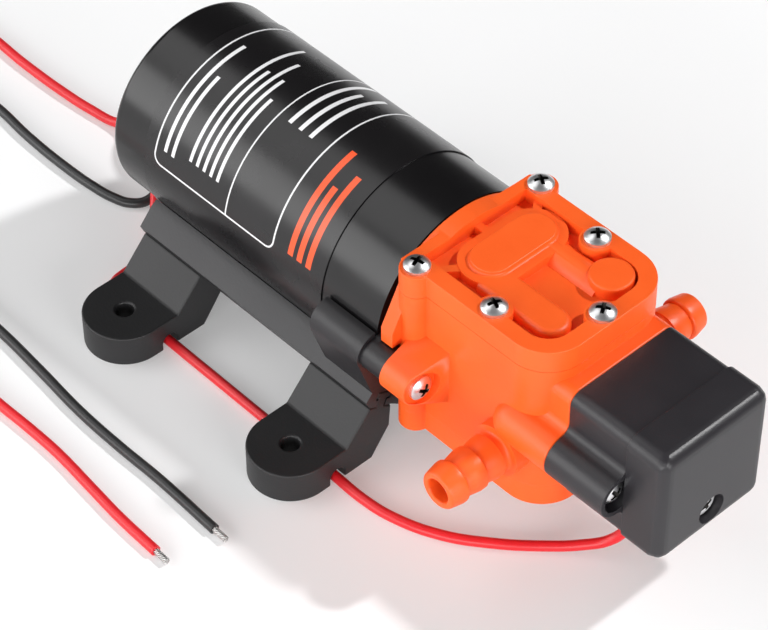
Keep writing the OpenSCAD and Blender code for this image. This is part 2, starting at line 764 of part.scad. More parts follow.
module pump_body() {
    nose_x = head_front - head_corner - 2;
    color(ORANGE) difference() {
        union() {
            translate([0, 0, axis_h - body_half]) linear_extrude(2 * body_half) {
                head_outline(0);
                for (s = [-1, 1]) translate([rear_screw.x, s * rear_screw.y]) circle(column_r);
            }
            along_x(nose_x, nose_front) translate([0, switch_z])
                rounded_rect(switch_w - 2 * housing_inset, switch_h - 2 * housing_inset, switch_round);
            both_sides() {
                barb();
                ear();
                rear_plate();
                screw_arm();
            }
        }
        translate([chamber_x, 0, axis_h - body_half - 1]) cylinder(r = crank_r, h = 2 * body_half + 2);
        for (side = [-1, 1]) stacked(side) {
            translate([chamber_x, 0, stack_diaphragm]) cylinder(r = seat_r, h = body_half);
            translate([0, 0, body_half - cover_screw_len]) at_cover_screws()
                cylinder(d = shank_d + slip, h = cover_screw_len);
        }
        rod_x(spigot_r + slip, head_rear - 1, head_rear + spigot_len - flange_t + 0.6, 0, axis_h);
        rod_x(shaft_r + 4.5, head_rear, chamber_x, 0, axis_h);
        rod_x(membrane_r + slip, nose_front - membrane_t - 0.6, nose_front + 1, 0, axis_h);
        rod_x(1.8, head_front - 7, nose_front, 0, axis_h);
        translate([head_front - 6.6, 0, axis_h]) rotate([0, 0, atan2(duct.y, duct.x - head_front + 6.6)])
            rotate([0, 90, 0]) cylinder(r = 1.4, h = duct.y + 0.6);
        both_sides() {
            rod_x(flange_boss_r + gap, head_rear - 1, head_rear + ear_in, ear_y, ear_z);
            translate([barb_x, duct.y + 0.6, axis_h - barb_drop]) rotate([-90, 0, 0])
                cylinder(d = barb_bore_d, h = barb_span);
            translate([duct.x, duct.y, axis_h - body_half - 1]) cylinder(r = duct_r, h = 2 * body_half + 2);
            rod_x(shank_d / 2 + slip / 2, head_rear + ear_in - 1, head_rear + ear_in + ear_t + 3,
                ear_y, ear_z);
            rod_x(ear_r - 0.4, head_rear + ear_in + ear_t, head_rear + ear_in + ear_t + 5, ear_y, ear_z);
            rod_x(shank_d / 2 + slip / 2, screw_seat_x - switch_screw_len - 0.6, nose_front + 1,
                tube_y, tube_z);
        }
    }
}

// Cover drawn for the top, with its joint face at z = body_half above the axis
module cover() {
    ridge = cover_top - 0.4;
    rise = motor_r - slip;
    difference() {
        union() {
            difference() {
                translate([0, 0, body_half]) linear_extrude(cover_t) {
                    head_outline(0);
                    for (s = [-1, 1]) translate([rear_screw.x, s * rear_screw.y]) circle(column_r);
                }
                translate([0, 0, field_floor]) linear_extrude(cover_t) head_outline(rim_w);
            }
            intersection() {
                rod_x(rise, motor_front + gap, head_rear + collar_t - 1, 0, 0);
                translate([motor_front, -side_y, body_half]) cube([collar_t + flange_t, head_w, motor_r]);
            }
            cover_relief(ridge);
        }
        translate([0, 0, body_half - 1]) at_cover_screws() cylinder(d = shank_d + 2 * slip, h = motor_r);
        translate([0, 0, cover_top]) at_cover_screws() cylinder(d = head_d + 2 * slip, h = motor_r);
        for (s = [-1, 1]) cover_passage(s * channel_y, s * duct.y);
    }
}

// Raised chambers and channels in the sunk field
module cover_relief(ridge) {
    pill_low_r = 7.5;
    pill_high_r = 4.9;
    pill_half = 6.2;
    disc = [front_screw.x - 7.1, 10, 5];
    rib_w = 2;
    base = field_floor - 0.2;
    translate([pill_x, pill_y, base]) {
        linear_extrude(tier_h - base) pill(pill_low_r, pill_half);
        linear_extrude(ridge + 0.6 - base) pill(pill_high_r, pill_half);
    }
    translate([disc.x, disc.y, base]) rounded_disc(disc.z, ridge + 0.4 - base);
    intersection() {
        rod_x(channel_r, pill_x + 3, disc.x, channel_y, channel_h - channel_r);
        translate([head_rear, 0, base]) cube([head_len, side_y, channel_r]);
    }
    translate([pill_x + 3, -channel_y, base]) finger(front_screw.x - 7 - pill_x - 3, tier_h - base);
    translate([0, 0, base]) linear_extrude(cover_top - base) intersection() {
        head_outline(1);
        for (p = [mid_screw, [mid_screw.x, -mid_screw.y], front_screw]) translate(p) circle(cover_boss_r);
    }
    translate([0, 0, base]) linear_extrude(ridge - 0.8 - base) {
        translate([head_rear + 1, pill_y - 1.6]) square([pill_x - head_rear - 1, rib_w]);
        for (s = [-1, 1]) translate([rear_screw.x, s * rear_screw.y])
            rotate(s * -52) translate([0, -rib_w / 2]) square([14, rib_w]);
    }
}

module pill(r, half) {
    square([2 * r, 2 * half], center = true);
    for (s = [-1, 1]) translate([0, s * half]) circle(r);
}

// Disc with a rounded top edge
module rounded_disc(r, h) {
    edge = 0.5;
    rotate_extrude() {
        square([r, h - edge]);
        square([r - edge, h]);
        translate([r - edge, h - edge]) circle(edge);
    }
}

// Flat-topped channel with rounded edges and a round end, drawn along X
module finger(len, h) {
    edge = 1.4;
    r = channel_r;
    rotate([90, 0, 90]) linear_extrude(len) {
        translate([-r, 0]) square([2 * r, h - edge]);
        translate([edge - r, 0]) square([2 * (r - edge), h]);
        for (s = [-1, 1]) translate([s * (r - edge), h - edge]) circle(edge);
    }
    translate([len, 0, 0]) rotate(-90) rotate_extrude(angle = 180) {
        square([r, h - edge]);
        square([r - edge, h]);
        translate([r - edge, h - edge]) circle(edge);
    }
}

// Water passage under a channel, from a valve to a duct
module cover_passage(y, duct_side) {
    passage_r = 2.4;
    rod_x(passage_r, chamber_x, duct.x, y, body_half - 0.2);
    translate([duct.x, duct_side, body_half - 1]) cylinder(r = duct_r, h = 2.1);
    translate([chamber_x, sign(y) * valve_y, body_half - 1]) cylinder(r = valve_r + slip, h = 2.1);
}

module top_cover() { color(ORANGE) stacked(1) cover(); }
module bottom_cover() { color(ORANGE) stacked(-1) cover(); }

module cover_screws(side) {
    color(STEEL) stacked(side) translate([0, 0, cover_top]) at_cover_screws() pan_screw(cover_screw_len);
}

module top_cover_screws() { cover_screws(1); }
module bottom_cover_screws() { cover_screws(-1); }

module ear_screws() {
    color(STEEL) both_sides() screw_x(head_rear + ear_in + ear_t, ear_y, ear_z, ear_screw_len);
}

// Valve seats, as X, Y in the plate: stem hole and the small holes round it
module at_valves() {
    for (s = [-1, 1]) translate([chamber_x, s * valve_y, 0]) children();
}

module valve_plate() {
    hole_ring = 1.9;
    difference() {
        translate([chamber_x, 0, stack_diaphragm_top])
            cylinder(r = diaphragm_r, h = stack_plate_top - stack_diaphragm_top);
        translate([chamber_x, 0, stack_diaphragm_top - 1]) cylinder(r = chamber_r, h = chamber_h + 1);
        at_valves() {
            translate([0, 0, stack_roof - 1]) cylinder(r = 0.8, h = plate_roof + 2);
            for (a = [45 : 90 : 315]) rotate(a) translate([hole_ring, 0, stack_roof - 1])
                cylinder(r = 0.7, h = plate_roof + 2);
        }
    }
}

module top_valve_plate() { color("#e9e6df") stacked(1) valve_plate(); }
module bottom_valve_plate() { color("#e9e6df") stacked(-1) valve_plate(); }

// Umbrella valves: the inlet opens into the chamber, the outlet into the cover
module umbrella() {
    translate([0, 0, slip / 5]) cylinder(r1 = valve_r, r2 = valve_r - 0.6, h = valve_t);
    translate([0, 0, -plate_roof - 0.5]) cylinder(r = 0.7, h = plate_roof + 0.6);
}

module valves() {
    translate([chamber_x, valve_y, stack_plate_top]) umbrella();
    translate([chamber_x, -valve_y, stack_roof]) mirror([0, 0, 1]) umbrella();
}

module top_valves() { color(RUBBER) stacked(1) valves(); }
module bottom_valves() { color(RUBBER) stacked(-1) valves(); }

// Rubber disc with a clamped rim, a thin web and a thick middle that follows the yoke
module diaphragm(lift) {
    web = diaphragm_t * 0.5;
    low = (diaphragm_t - web) / 2;
    mid_r = clamp_r + 0.6;
    translate([chamber_x, 0, stack_diaphragm]) rotate_extrude() {
        translate([shank_d / 2 + slip, lift + slip / 2])
            square([mid_r - shank_d / 2 - slip, diaphragm_t - slip]);
        polygon([[mid_r - 0.5, lift + low], [crank_r + 0.6, low], [crank_r + 0.6, low + web],
            [mid_r - 0.5, lift + low + web]]);
        translate([crank_r + 0.2, 0]) square([diaphragm_r - crank_r - 0.2, diaphragm_t]);
    }
}

module top_diaphragm() { color(RUBBER) stacked(1) diaphragm(throw); }
module bottom_diaphragm() { color(RUBBER) stacked(-1) diaphragm(-throw); }

// Moving parts of the pump, drawn at the eccentric's top position
module raised(side) {
    translate([chamber_x, 0, throw]) stacked(side) children();
}

module clamp_disc(side) {
    color("#e9e6df") raised(side) translate([0, 0, stack_diaphragm_top]) difference() {
        cylinder(r = clamp_r, h = clamp_t);
        translate([0, 0, -1]) cylinder(d = shank_d + slip, h = clamp_t + 2);
        translate([0, 0, clamp_t - 0.9]) cylinder(d1 = shank_d + slip, d2 = head_d, h = 1);
    }
}

module top_clamp_disc() { clamp_disc(1); }
module bottom_clamp_disc() { clamp_disc(-1); }

module clamp_screws() {
    tip = bearing_d / 2 + 0.6;
    color(STEEL) for (side = [-1, 1]) raised(side) {
        translate([0, 0, tip]) cylinder(d = shank_d, h = stack_diaphragm_top + clamp_t - 0.9 - tip);
        translate([0, 0, stack_diaphragm_top + clamp_t - 0.9])
            cylinder(d1 = shank_d, d2 = head_d - 0.6, h = 0.85);
    }
}

// Ring round the bearing with a platform under each diaphragm
module yoke() {
    x0 = chamber_x - yoke_w / 2;
    color("#d8d4c8") difference() {
        union() {
            rod_x(yoke_r, x0, x0 + yoke_w, 0, axis_h + throw);
            for (side = [-1, 1]) raised(side) {
                translate([-yoke_w / 2, -clamp_r + 1, bearing_d / 2])
                    cube([yoke_w, 2 * clamp_r - 2, stack_diaphragm - bearing_d / 2 - 0.5]);
                translate([0, 0, stack_diaphragm - 1.6]) cylinder(r = clamp_r, h = 1.6 - slip / 2);
            }
        }
        rod_x(bearing_d / 2 + slip / 5, x0 - 1, x0 + yoke_w + 1, 0, axis_h + throw);
        for (side = [-1, 1]) raised(side) cylinder(d = shank_d + slip, h = stack_plate_top);
    }
}

module yoke_bearing() {
    x0 = chamber_x - bearing_w / 2;
    groove_r = (bearing_d + journal_d) / 4;
    color(STEEL) difference() {
        rod_x(bearing_d / 2, x0, x0 + bearing_w, 0, axis_h + throw);
        rod_x(journal_d / 2 + run_fit, x0 - 1, x0 + bearing_w + 1, 0, axis_h + throw);
        for (x = [x0 - 0.5, x0 + bearing_w - 0.5]) difference() {
            rod_x(groove_r + 0.7, x, x + 1, 0, axis_h + throw);
            rod_x(groove_r - 0.7, x - 1, x + 2, 0, axis_h + throw);
        }
    }
}

// Hub on the shaft with an offset journal
module eccentric() {
    hub_r = 5.4;
    hub_len = 3;
    x0 = chamber_x - yoke_w / 2 - gap;
    color(STEEL) difference() {
        union() {
            rod_x(hub_r, x0 - hub_len, x0, 0, axis_h);
            rod_x(journal_d / 2, x0 - 0.5, chamber_x + yoke_w / 2, 0, axis_h + throw);
        }
        rod_x(shaft_r + slip / 5, x0 - hub_len - 1, chamber_x + yoke_w, 0, axis_h);
    }
}

// Pressure switch

module switch_membrane() {
    color(RUBBER) rod_x(membrane_r, nose_front - membrane_t, nose_front - slip / 2, 0, axis_h);
}

module switch_box(x0, x1, inset) {
    along_x(x0, x1) translate([0, switch_z])
        rounded_rect(switch_w - 2 * inset, switch_h - 2 * inset, switch_round);
}

// Housing with a screw tube on each side; the spring room opens to the nose
module switch_housing() {
    color(BLACK) difference() {
        union() {
            switch_box(nose_front, seam_x, housing_inset);
            both_sides() {
                rod_x(arm_r, nose_front, seam_x, tube_y, tube_z);
                box_x(nose_front, seam_x, tube_y - tube_web, tube_y, tube_z - arm_r + 0.8,
                    tube_z + arm_r - 0.8);
                along_x(nose_front, seam_x) tube_fillets();
            }
        }
        rod_x(plunger_r + gap, nose_front - 1, shelf_x, 0, axis_h);
        rod_x(stem_r + slip, shelf_x - 1, seam_x + 1, 0, axis_h);
        switch_inside(shelf_x + shelf_t, seam_x + 1);
        both_sides() {
            rod_x(shank_d / 2 + slip, nose_front - 1, seam_x + 1, tube_y, tube_z);
            rod_x(screw_well_r, screw_seat_x, seam_x + 1, tube_y, tube_z);
        }
        translate(gland) cylinder(d = lead_d + 2 + 2 * slip, h = gland_drop + 6);
    }
}

module switch_inside(x0, x1) {
    along_x(x0, x1) translate([0, switch_z])
        rounded_rect(2 * room_half, switch_h - 2 * (switch_wall + housing_inset),
            max(switch_round - switch_wall, 0.5));
}

// Outline with round front corners, drawn as X and a half width
module cap_outline(half) {
    translate([seam_x, -half]) square([cap_len - cap_round, 2 * half]);
    translate([seam_x, cap_round - half]) square([cap_len, 2 * (half - cap_round)]);
    for (s = [-1, 1]) translate([cap_front - cap_round, s * (half - cap_round)]) circle(cap_round);
}

// Cap with a rounded front, a boss for the adjusting screw and two posts behind the microswitch
module switch_cap() {
    inner_front = cap_front - switch_wall;
    post_r = 1.4;
    color(BLACK) difference() {
        intersection() {
            switch_box(seam_x, cap_front, 0);
            translate([0, 0, switch_z]) linear_extrude(switch_h + 2, center = true)
                cap_outline(switch_w / 2);
            translate([0, 0, switch_z]) rotate([90, 0, 0]) linear_extrude(switch_w + 2, center = true)
                cap_outline(switch_h / 2);
        }
        difference() {
            switch_inside(seam_x - 1, inner_front);
            rod_x(adjuster_hole_d / 2 + 1.2, cap_front - adjuster_sink - 1.9, cap_front, 0, adjuster_z);
            for (s = [-1, 1])
                rod_x(post_r, micro_x + micro.x + slip / 2, cap_front, 0, axis_h + s * 4.2);
        }
        rod_x(adjuster_hole_d / 2, cap_front - adjuster_sink, cap_front + 1, 0, adjuster_z);
        rod_x(shank_d / 2 + slip / 2, seam_x, cap_front, 0, adjuster_z);
    }
}

module switch_screws() {
    color(STEEL) both_sides() screw_x(screw_seat_x, tube_y, tube_z, switch_screw_len);
}

// Plunger: a flange on the membrane and a stem through the shelf
module switch_plunger() {
    color("#e9e6df") {
        rod_x(plunger_r, plunger_x, plunger_x + plunger_flange_t, 0, axis_h);
        rod_x(stem_r, plunger_x, micro_x - button_out - slip, 0, axis_h);
    }
}

// Coil spring between the plunger's flange and the shelf
module pressure_spring() {
    turns = 4;
    steps = 16;
    wire_d = 0.9;
    coil_r = 4.6;
    half = wire_d / 2;
    pitch = (spring_room - wire_d) / turns;
    route = [for (i = [0 : turns * steps])
        let (a = 360 * i / steps)
        [spring_x + half + pitch * i / steps, coil_r * cos(a), axis_h + coil_r * sin(a)]];
    color(STEEL) tube(route, wire_d);
}

module microswitch() {
    color("#202022") difference() {
        box_x(micro_x, micro_x + micro.x, -micro.y / 2, micro.y / 2,
            axis_h - micro.z / 2, axis_h + micro.z / 2);
        rod_x(button_r + slip, micro_x - 1, micro_x + 3, 0, axis_h);
    }
}

module microswitch_button() {
    color(RED) rod_x(button_r, micro_x - button_out, micro_x + 1.4, 0, axis_h);
}

// Two blades above the microswitch
module switch_terminals() {
    blade = [0.6, 3, 4.5];
    color("#d9b25a") for (x = [0.7, micro.x - 0.7 - blade.x])
        translate([micro_x + x, -blade.y / 2, axis_h + micro.z / 2]) cube(blade);
}

module pressure_adjuster() {
    color(STEEL) screw_x(cap_front - adjuster_sink + slip, 0, adjuster_z, cap_len - adjuster_sink - 0.5);
}

// Rubber gland for the lead, under the switch housing
module switch_gland() {
    color(RUBBER) translate(gland) difference() {
        union() {
            cylinder(d1 = lead_d + 2, d2 = lead_d + 3, h = gland_drop);
            cylinder(d = lead_d + 2, h = gland_drop + 3);
        }
        translate([0, 0, gland_drop]) cylinder(d = lead_d, h = 4);
    }
}

// Leads

module red_lead() { color(RED) tube(RED_ROUTE, lead_d); }
module red_lead_end() { color(STEEL) tinned_end(RED_ROUTE); }
module black_lead() { color(BLACK) tube(BLACK_ROUTE, lead_d); }
module black_lead_end() { color(STEEL) tinned_end(BLACK_ROUTE); }
module switch_lead() { color(RED) tube(SWITCH_ROUTE, lead_d); }

motor_can();
rear_cap();
motor_label();
wire_grommet();
magnets();
brushes();
motor_bushes();
motor_flange();
base_bracket();
foot_front_left();
foot_front_right();
foot_rear_left();
foot_rear_right();
pump_body();
top_cover();
bottom_cover();
top_cover_screws();
bottom_cover_screws();
ear_screws();
top_valve_plate();
bottom_valve_plate();
top_valves();
bottom_valves();
top_diaphragm();
bottom_diaphragm();
top_clamp_disc();
bottom_clamp_disc();
clamp_screws();
yoke();
yoke_bearing();
eccentric();
rotor_shaft();
armature_core();
armature_windings();
commutator();
switch_membrane();
switch_housing();
switch_cap();
switch_screws();
switch_plunger();
pressure_spring();
microswitch();
microswitch_button();
switch_terminals();
pressure_adjuster();
switch_gland();
red_lead();
red_lead_end();
black_lead();
black_lead_end();
switch_lead();
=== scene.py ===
# %% [markdown]
# # A small diaphragm water pump
#
# The pump stands on four rubber feet, with its motor lying along X and its pressure switch at the
# +X end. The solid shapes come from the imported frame. This lesson dresses them: it adds soft moulded
# edges, bright screws, wires and finishes, and lights them on a pale floor.

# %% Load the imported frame
import math

import bmesh
import bpy
from mathutils import Matrix, Vector


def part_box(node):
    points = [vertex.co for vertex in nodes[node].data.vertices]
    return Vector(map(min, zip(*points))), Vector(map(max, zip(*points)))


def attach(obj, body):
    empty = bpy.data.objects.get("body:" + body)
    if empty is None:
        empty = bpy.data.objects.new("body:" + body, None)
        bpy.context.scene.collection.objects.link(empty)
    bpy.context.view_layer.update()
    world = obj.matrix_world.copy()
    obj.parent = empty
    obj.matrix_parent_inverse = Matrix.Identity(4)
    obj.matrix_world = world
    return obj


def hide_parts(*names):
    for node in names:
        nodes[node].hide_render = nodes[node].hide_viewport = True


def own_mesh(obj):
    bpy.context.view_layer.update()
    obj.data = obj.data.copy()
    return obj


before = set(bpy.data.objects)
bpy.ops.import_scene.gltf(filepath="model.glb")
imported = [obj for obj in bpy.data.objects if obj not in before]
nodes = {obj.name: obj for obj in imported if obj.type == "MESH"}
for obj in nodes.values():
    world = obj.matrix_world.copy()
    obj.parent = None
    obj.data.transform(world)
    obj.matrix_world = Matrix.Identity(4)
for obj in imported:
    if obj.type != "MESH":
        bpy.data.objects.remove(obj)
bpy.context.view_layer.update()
MM = 0.001
AXIS_H = 35.6 * MM

# %% [markdown]
# ## Three jobs that come back
#
# Almost every piece is linked into the scene and shaded smooth between its creases; then the solid it
# replaces is hidden and the piece is hung on the body that carries it. Each job is written once.

# %% Link, shade and declare
CREASE = math.radians(35)


def link(name, data):
    thing = bpy.data.objects.new(name, data)
    bpy.context.scene.collection.objects.link(thing)
    return thing


def shade_smooth(mesh, crease=None):
    mesh.polygons.foreach_set("use_smooth", [True] * len(mesh.polygons))
    if crease:
        mesh.set_sharp_from_angle(angle=crease)


def declare(piece, node, body):
    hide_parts(node)
    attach(piece, body)


print("creases stay sharp above", round(math.degrees(CREASE)), "degrees")

# %% [markdown]
# ## Camera
#
# The photograph was taken from high on the right, with a long lens that keeps edges almost parallel.
# The camera is placed by its measured position and target, with a very small roll. It comes early,
# because the length of wire that it can't see has to stay close to the object.

# %% Camera
CAMERA_PLACE = Vector((0.37613, -0.33569, 0.50655))
CAMERA_TARGET = Vector((0.02942, -0.01378, 0.030))
CAMERA_ROLL = math.radians(-0.19)
FOCAL_LENGTH, SENSOR_WIDTH = 142.35, 36


def aim(place, target, roll):
    """A camera's matrix, from its place, the point it looks at and its roll."""
    back = (place - target).normalized()
    right = Vector((0, 0, 1)).cross(back).normalized()
    up = back.cross(right)
    across = math.cos(roll) * right + math.sin(roll) * up
    upright = -math.sin(roll) * right + math.cos(roll) * up
    turned = Matrix((across, upright, back)).transposed().to_4x4()
    return Matrix.Translation(place) @ turned


lens = bpy.data.cameras.new("photo_camera")
lens.lens = FOCAL_LENGTH
lens.sensor_width = SENSOR_WIDTH
lens.clip_start = 0.01
camera = link("photo_camera", lens)
camera.matrix_world = aim(CAMERA_PLACE, CAMERA_TARGET, CAMERA_ROLL)
bpy.context.scene.camera = camera
print("camera at", [round(v, 3) for v in camera.location])

# %% [markdown]
# ## Shader maths as Python
#
# A finish is a small calculation on every point of a surface. Wiring that by hand is slow to read,
# so one class wraps a socket and lets ordinary operators add the Math nodes. A second class holds a
# material and adds any other node from its type, its settings and the values of its sockets.

# %% A socket that can be calculated with
def plug(tree, socket, value):
    if isinstance(value, Signal):
        tree.links.new(value.socket, socket)
    elif hasattr(socket, "default_value"):
        socket.default_value = value


def calc(operation, *values):
    """Adds one Math node for values of which at least one is a Signal."""
    tree = next(value.tree for value in values if isinstance(value, Signal))
    step = tree.nodes.new("ShaderNodeMath")
    step.operation = operation
    for socket, value in zip(step.inputs, values):
        plug(tree, socket, value)
    return Signal(tree, step.outputs[0])


class Signal:
    def __init__(self, tree, socket):
        self.tree = tree
        self.socket = socket

    def __add__(self, other):
        return calc("ADD", self, other)

    def __radd__(self, other):
        return calc("ADD", other, self)

    def __sub__(self, other):
        return calc("SUBTRACT", self, other)

    def __rsub__(self, other):
        return calc("SUBTRACT", other, self)

    def __mul__(self, other):
        return calc("MULTIPLY", self, other)

    def __rmul__(self, other):
        return calc("MULTIPLY", other, self)

    def __truediv__(self, other):
        return calc("DIVIDE", self, other)

    def __neg__(self):
        return calc("MULTIPLY", self, -1.0)

    def __abs__(self):
        return calc("ABSOLUTE", self)

    def at_least(self, other):
        return calc("MAXIMUM", self, other)

    def at_most(self, other):
        return calc("MINIMUM", self, other)

    def above(self, edge, soft):
        """0 up to the edge, 1 from soft past it, and a straight ramp between."""
        step = calc("DIVIDE", self - edge, soft)
        step.socket.node.use_clamp = True
        return step


# %% A material that adds nodes
class Finish:
    def __init__(self, name, **constants):
        self.material = bpy.data.materials.new(name)
        self.material.use_nodes = True
        self.tree = self.material.node_tree
        self.tree.nodes.clear()
        self.out = self.tree.nodes.new("ShaderNodeOutputMaterial")
        self.shader = self.tree.nodes.new("ShaderNodeBsdfPrincipled")
        self.tree.links.new(self.shader.outputs[0], self.out.inputs["Surface"])
        for socket, value in constants.items():
            self.put(socket, value)

    def add(self, kind, settings=None, output=0, **values):
        step = self.tree.nodes.new(kind)
        for name, value in (settings or {}).items():
            setattr(step, name, value)
        for name, value in values.items():
            plug(self.tree, step.inputs[name.replace("_", " ")], value)
        return Signal(self.tree, step.outputs[output])

    def place(self):
        return self.add("ShaderNodeTexCoord", output="Object")

    def xyz(self):
        parts = self.add("ShaderNodeSeparateXYZ", Vector=self.place()).socket.node
        return [Signal(self.tree, out) for out in parts.outputs]

    def noise(self, per_metre, detail=3.0, rough=0.55):
        return self.add(
            "ShaderNodeTexNoise", Vector=self.place(), Scale=per_metre, Detail=detail, Roughness=rough
        )

    def mix(self, amount, low, high):
        step = self.tree.nodes.new("ShaderNodeMix")
        step.data_type = "RGBA"
        plug(self.tree, step.inputs[0], amount)
        plug(self.tree, step.inputs[6], low if isinstance(low, Signal) else (*low, 1))
        plug(self.tree, step.inputs[7], high if isinstance(high, Signal) else (*high, 1))
        return Signal(self.tree, step.outputs[2])

    def mottle(self, slow, dark, light):
        """Two close colours in the patches of a slow noise."""
        return self.mix(slow.above(0.3, 0.4), dark, light)

    def put(self, socket, value):
        plug(self.tree, self.shader.inputs[socket.replace("_", " ")], value)

    def bump(self, height, depth, strength=1.0):
        self.put("Normal", self.add("ShaderNodeBump", Height=height, Distance=depth, Strength=strength))


# %% [markdown]
# ## Finishes
#
# Every surface of a used thing varies a little. A moulded face has a fine spark-eroded grain, paint
# has a slight orange peel, rubber carries pale dust, and steel has turning marks. Each finish below
# mixes two close colours by a slow noise and adds a fine bump from a fast one.

# %% Plastics, paint and rubber
PATCHES = 60.0
ROUGH_SPREAD = 0.12


def grained(name, dark, light, rough, grain, depth, **constants):
    """A finish with a fine bump, grain per metre and depth in metres, and slow patches."""
    finish = Finish(name, **constants)
    slow = finish.noise(PATCHES, 4.0)
    fast = finish.noise(grain, 2.0)
    finish.put("Base Color", finish.mottle(slow, dark, light))
    finish.put("Roughness", rough + (slow - 0.5) * ROUGH_SPREAD)
    finish.bump(fast, depth)
    return finish.material


orange_moulding = grained(
    "orange_moulding", (0.88, 0.102, 0.010), (0.94, 0.122, 0.0145), 0.42, 900, 0.00003, IOR=1.46
)
black_moulding = grained(
    "black_moulding", (0.012, 0.0112, 0.0128), (0.016, 0.015, 0.0172), 0.42, 1400, 0.00004, IOR=1.5
)
switch_moulding = grained(
    "switch_moulding", (0.016, 0.0145, 0.0175), (0.020, 0.0182, 0.0215), 0.38, 3200, 0.00003, IOR=1.5
)
motor_paint = grained(
    "motor_paint", (0.0045, 0.004, 0.0045), (0.006, 0.0055, 0.006), 0.24, 500, 0.00001, IOR=1.5
)
foot_rubber = grained(
    "foot_rubber", (0.010, 0.0098, 0.0108), (0.014, 0.0138, 0.0148), 0.5, 1700, 0.00004, IOR=1.5
)
inner_rubber = grained(
    "inner_rubber", (0.02, 0.02, 0.02), (0.035, 0.034, 0.033), 0.7, 900, 0.00005, IOR=1.5
)
ivory_moulding = grained(
    "ivory_moulding", (0.74, 0.71, 0.64), (0.8, 0.78, 0.72), 0.45, 800, 0.00003, IOR=1.46
)
red_insulation = grained(
    "red_insulation", (0.66, 0.012, 0.018), (0.74, 0.018, 0.026), 0.36, 700, 0.00003, IOR=1.5
)
black_insulation = grained(
    "black_insulation", (0.016, 0.016, 0.017), (0.024, 0.024, 0.025), 0.36, 700, 0.00003, IOR=1.5
)
print("moulded finishes ready")


# %% [markdown]
# Metals show their making: screws are plated and bright with faint swirls, copper darkens in
# patches, the armature is a stack of thin sheets, and the tinned wire ends are dull where the
# solder ran.

# %% Metals
def metal(name, dark, light, rough, grain, depth):
    finish = Finish(name, Metallic=1.0)
    slow = finish.noise(grain * 0.12, 4.0)
    finish.put("Base Color", finish.mottle(slow, dark, light))
    finish.put("Roughness", rough + (slow - 0.5) * ROUGH_SPREAD)
    finish.bump(finish.noise(grain, 3.0), depth)
    return finish


# Painted shade: this near-black colour in a screw's cross recess stands in for the shadow inside it.
RECESS_PAINTED_SHADE = (0.03, 0.028, 0.026)


def plated(name, rough, metallic):
    """Bright plating whose cross recess is painted near black as shade, marked by the mesh's own
    attribute.
    """
    finish = Finish(name, Metallic=metallic)
    slow = finish.noise(300, 4.0)
    bright = finish.mottle(slow, (0.72, 0.72, 0.73), (0.86, 0.86, 0.87))
    recess = finish.add("ShaderNodeAttribute", {"attribute_name": "recess"}, output="Fac")
    # The recess faces are painted near black as shade.
    finish.put("Base Color", finish.mix(recess, bright, RECESS_PAINTED_SHADE))
    finish.put("Roughness", rough + (slow - 0.5) * ROUGH_SPREAD)
    finish.bump(finish.noise(2500, 3.0), 0.00001)
    return finish.material


plated_steel = plated("plated_steel", 0.34, 1.0)
zinc_flake = plated("zinc_flake", 0.5, 0.4)
turned_steel = metal("turned_steel", (0.5, 0.5, 0.51), (0.66, 0.66, 0.67), 0.3, 1800, 0.00001).material
copper = metal("copper", (0.62, 0.27, 0.1), (0.78, 0.38, 0.16), 0.34, 900, 0.00003).material
ferrite = metal("ferrite", (0.07, 0.07, 0.075), (0.11, 0.11, 0.115), 0.6, 700, 0.00004).material
tinned_wire = metal("tinned_wire", (0.42, 0.41, 0.4), (0.62, 0.61, 0.6), 0.38, 3000, 0.00004).material
sheets = metal("stacked_sheets", (0.3, 0.3, 0.32), (0.45, 0.45, 0.47), 0.4, 700, 0.00002)
SHEET = 0.5 * MM
along, across, height = sheets.xyz()
sheets.bump(calc("SINE", along * (2 * math.pi / SHEET)), 0.00004)
stacked_sheets = sheets.material
print("metal finishes ready")

# %% [markdown]
# ## Label film
#
# A film is wrapped round the motor. It carries a white rounded frame with a divider, and rows of
# white and orange bars of uneven length. The pattern is worked out from the distance along the motor
# and the distance round it, so the lines keep their width.

# %% Label film
label = Finish("label_film", IOR=1.5)
along, across, height = label.xyz()
FILM_RADIUS = 25.1 * MM
around = calc("ARCTAN2", -across, height - AXIS_H) * FILM_RADIUS
SOFT_EDGE = 0.1 * MM


def framed(distance_a, distance_b, corner):
    """The distance to a rounded rectangle's outline, negative inside it."""
    a = distance_a.at_least(0.0)
    b = distance_b.at_least(0.0)
    outside = calc("SQRT", a * a + b * b)
    inside = distance_a.at_least(distance_b).at_most(0.0)
    return outside + inside - corner


def stroke(value, half):
    return 1 - abs(value).above(half, 0.12 * MM)


corner = 2.4 * MM
frame_lo, frame_hi, divider_x = -35.7 * MM, 4.8 * MM, -11.0 * MM
side_lo, side_hi = -35.3 * MM, 35.3 * MM
edge = framed(
    abs(along - (frame_lo + frame_hi) / 2) - (frame_hi - frame_lo) / 2 + corner,
    abs(around - (side_lo + side_hi) / 2) - (side_hi - side_lo) / 2 + corner,
    corner,
)
inside = 1 - edge.above(-SOFT_EDGE, SOFT_EDGE)
lines = stroke(edge, 0.16 * MM).at_least(stroke(along - divider_x, 0.13 * MM) * inside)


def bar_rows(count, *sizes):
    """Bars round the motor, in rows along it, each cut to a length of its own."""
    first, pitch, start, longest, thick = (size * MM for size in sizes)
    place = (along - first) / pitch + 0.5
    row = calc("FLOOR", place)
    chance = label.add("ShaderNodeTexWhiteNoise", {"noise_dimensions": "1D"}, W=row + 7.3)
    in_rows = row.above(-0.5, 0.01) * (1 - row.above(count - 0.5, 0.01))
    bar = stroke((place - row - 0.5) * pitch, thick / 2)
    end = start - longest * (0.45 + 0.55 * chance)
    return in_rows * bar * (1 - around.above(start, SOFT_EDGE)) * around.above(end, SOFT_EDGE)


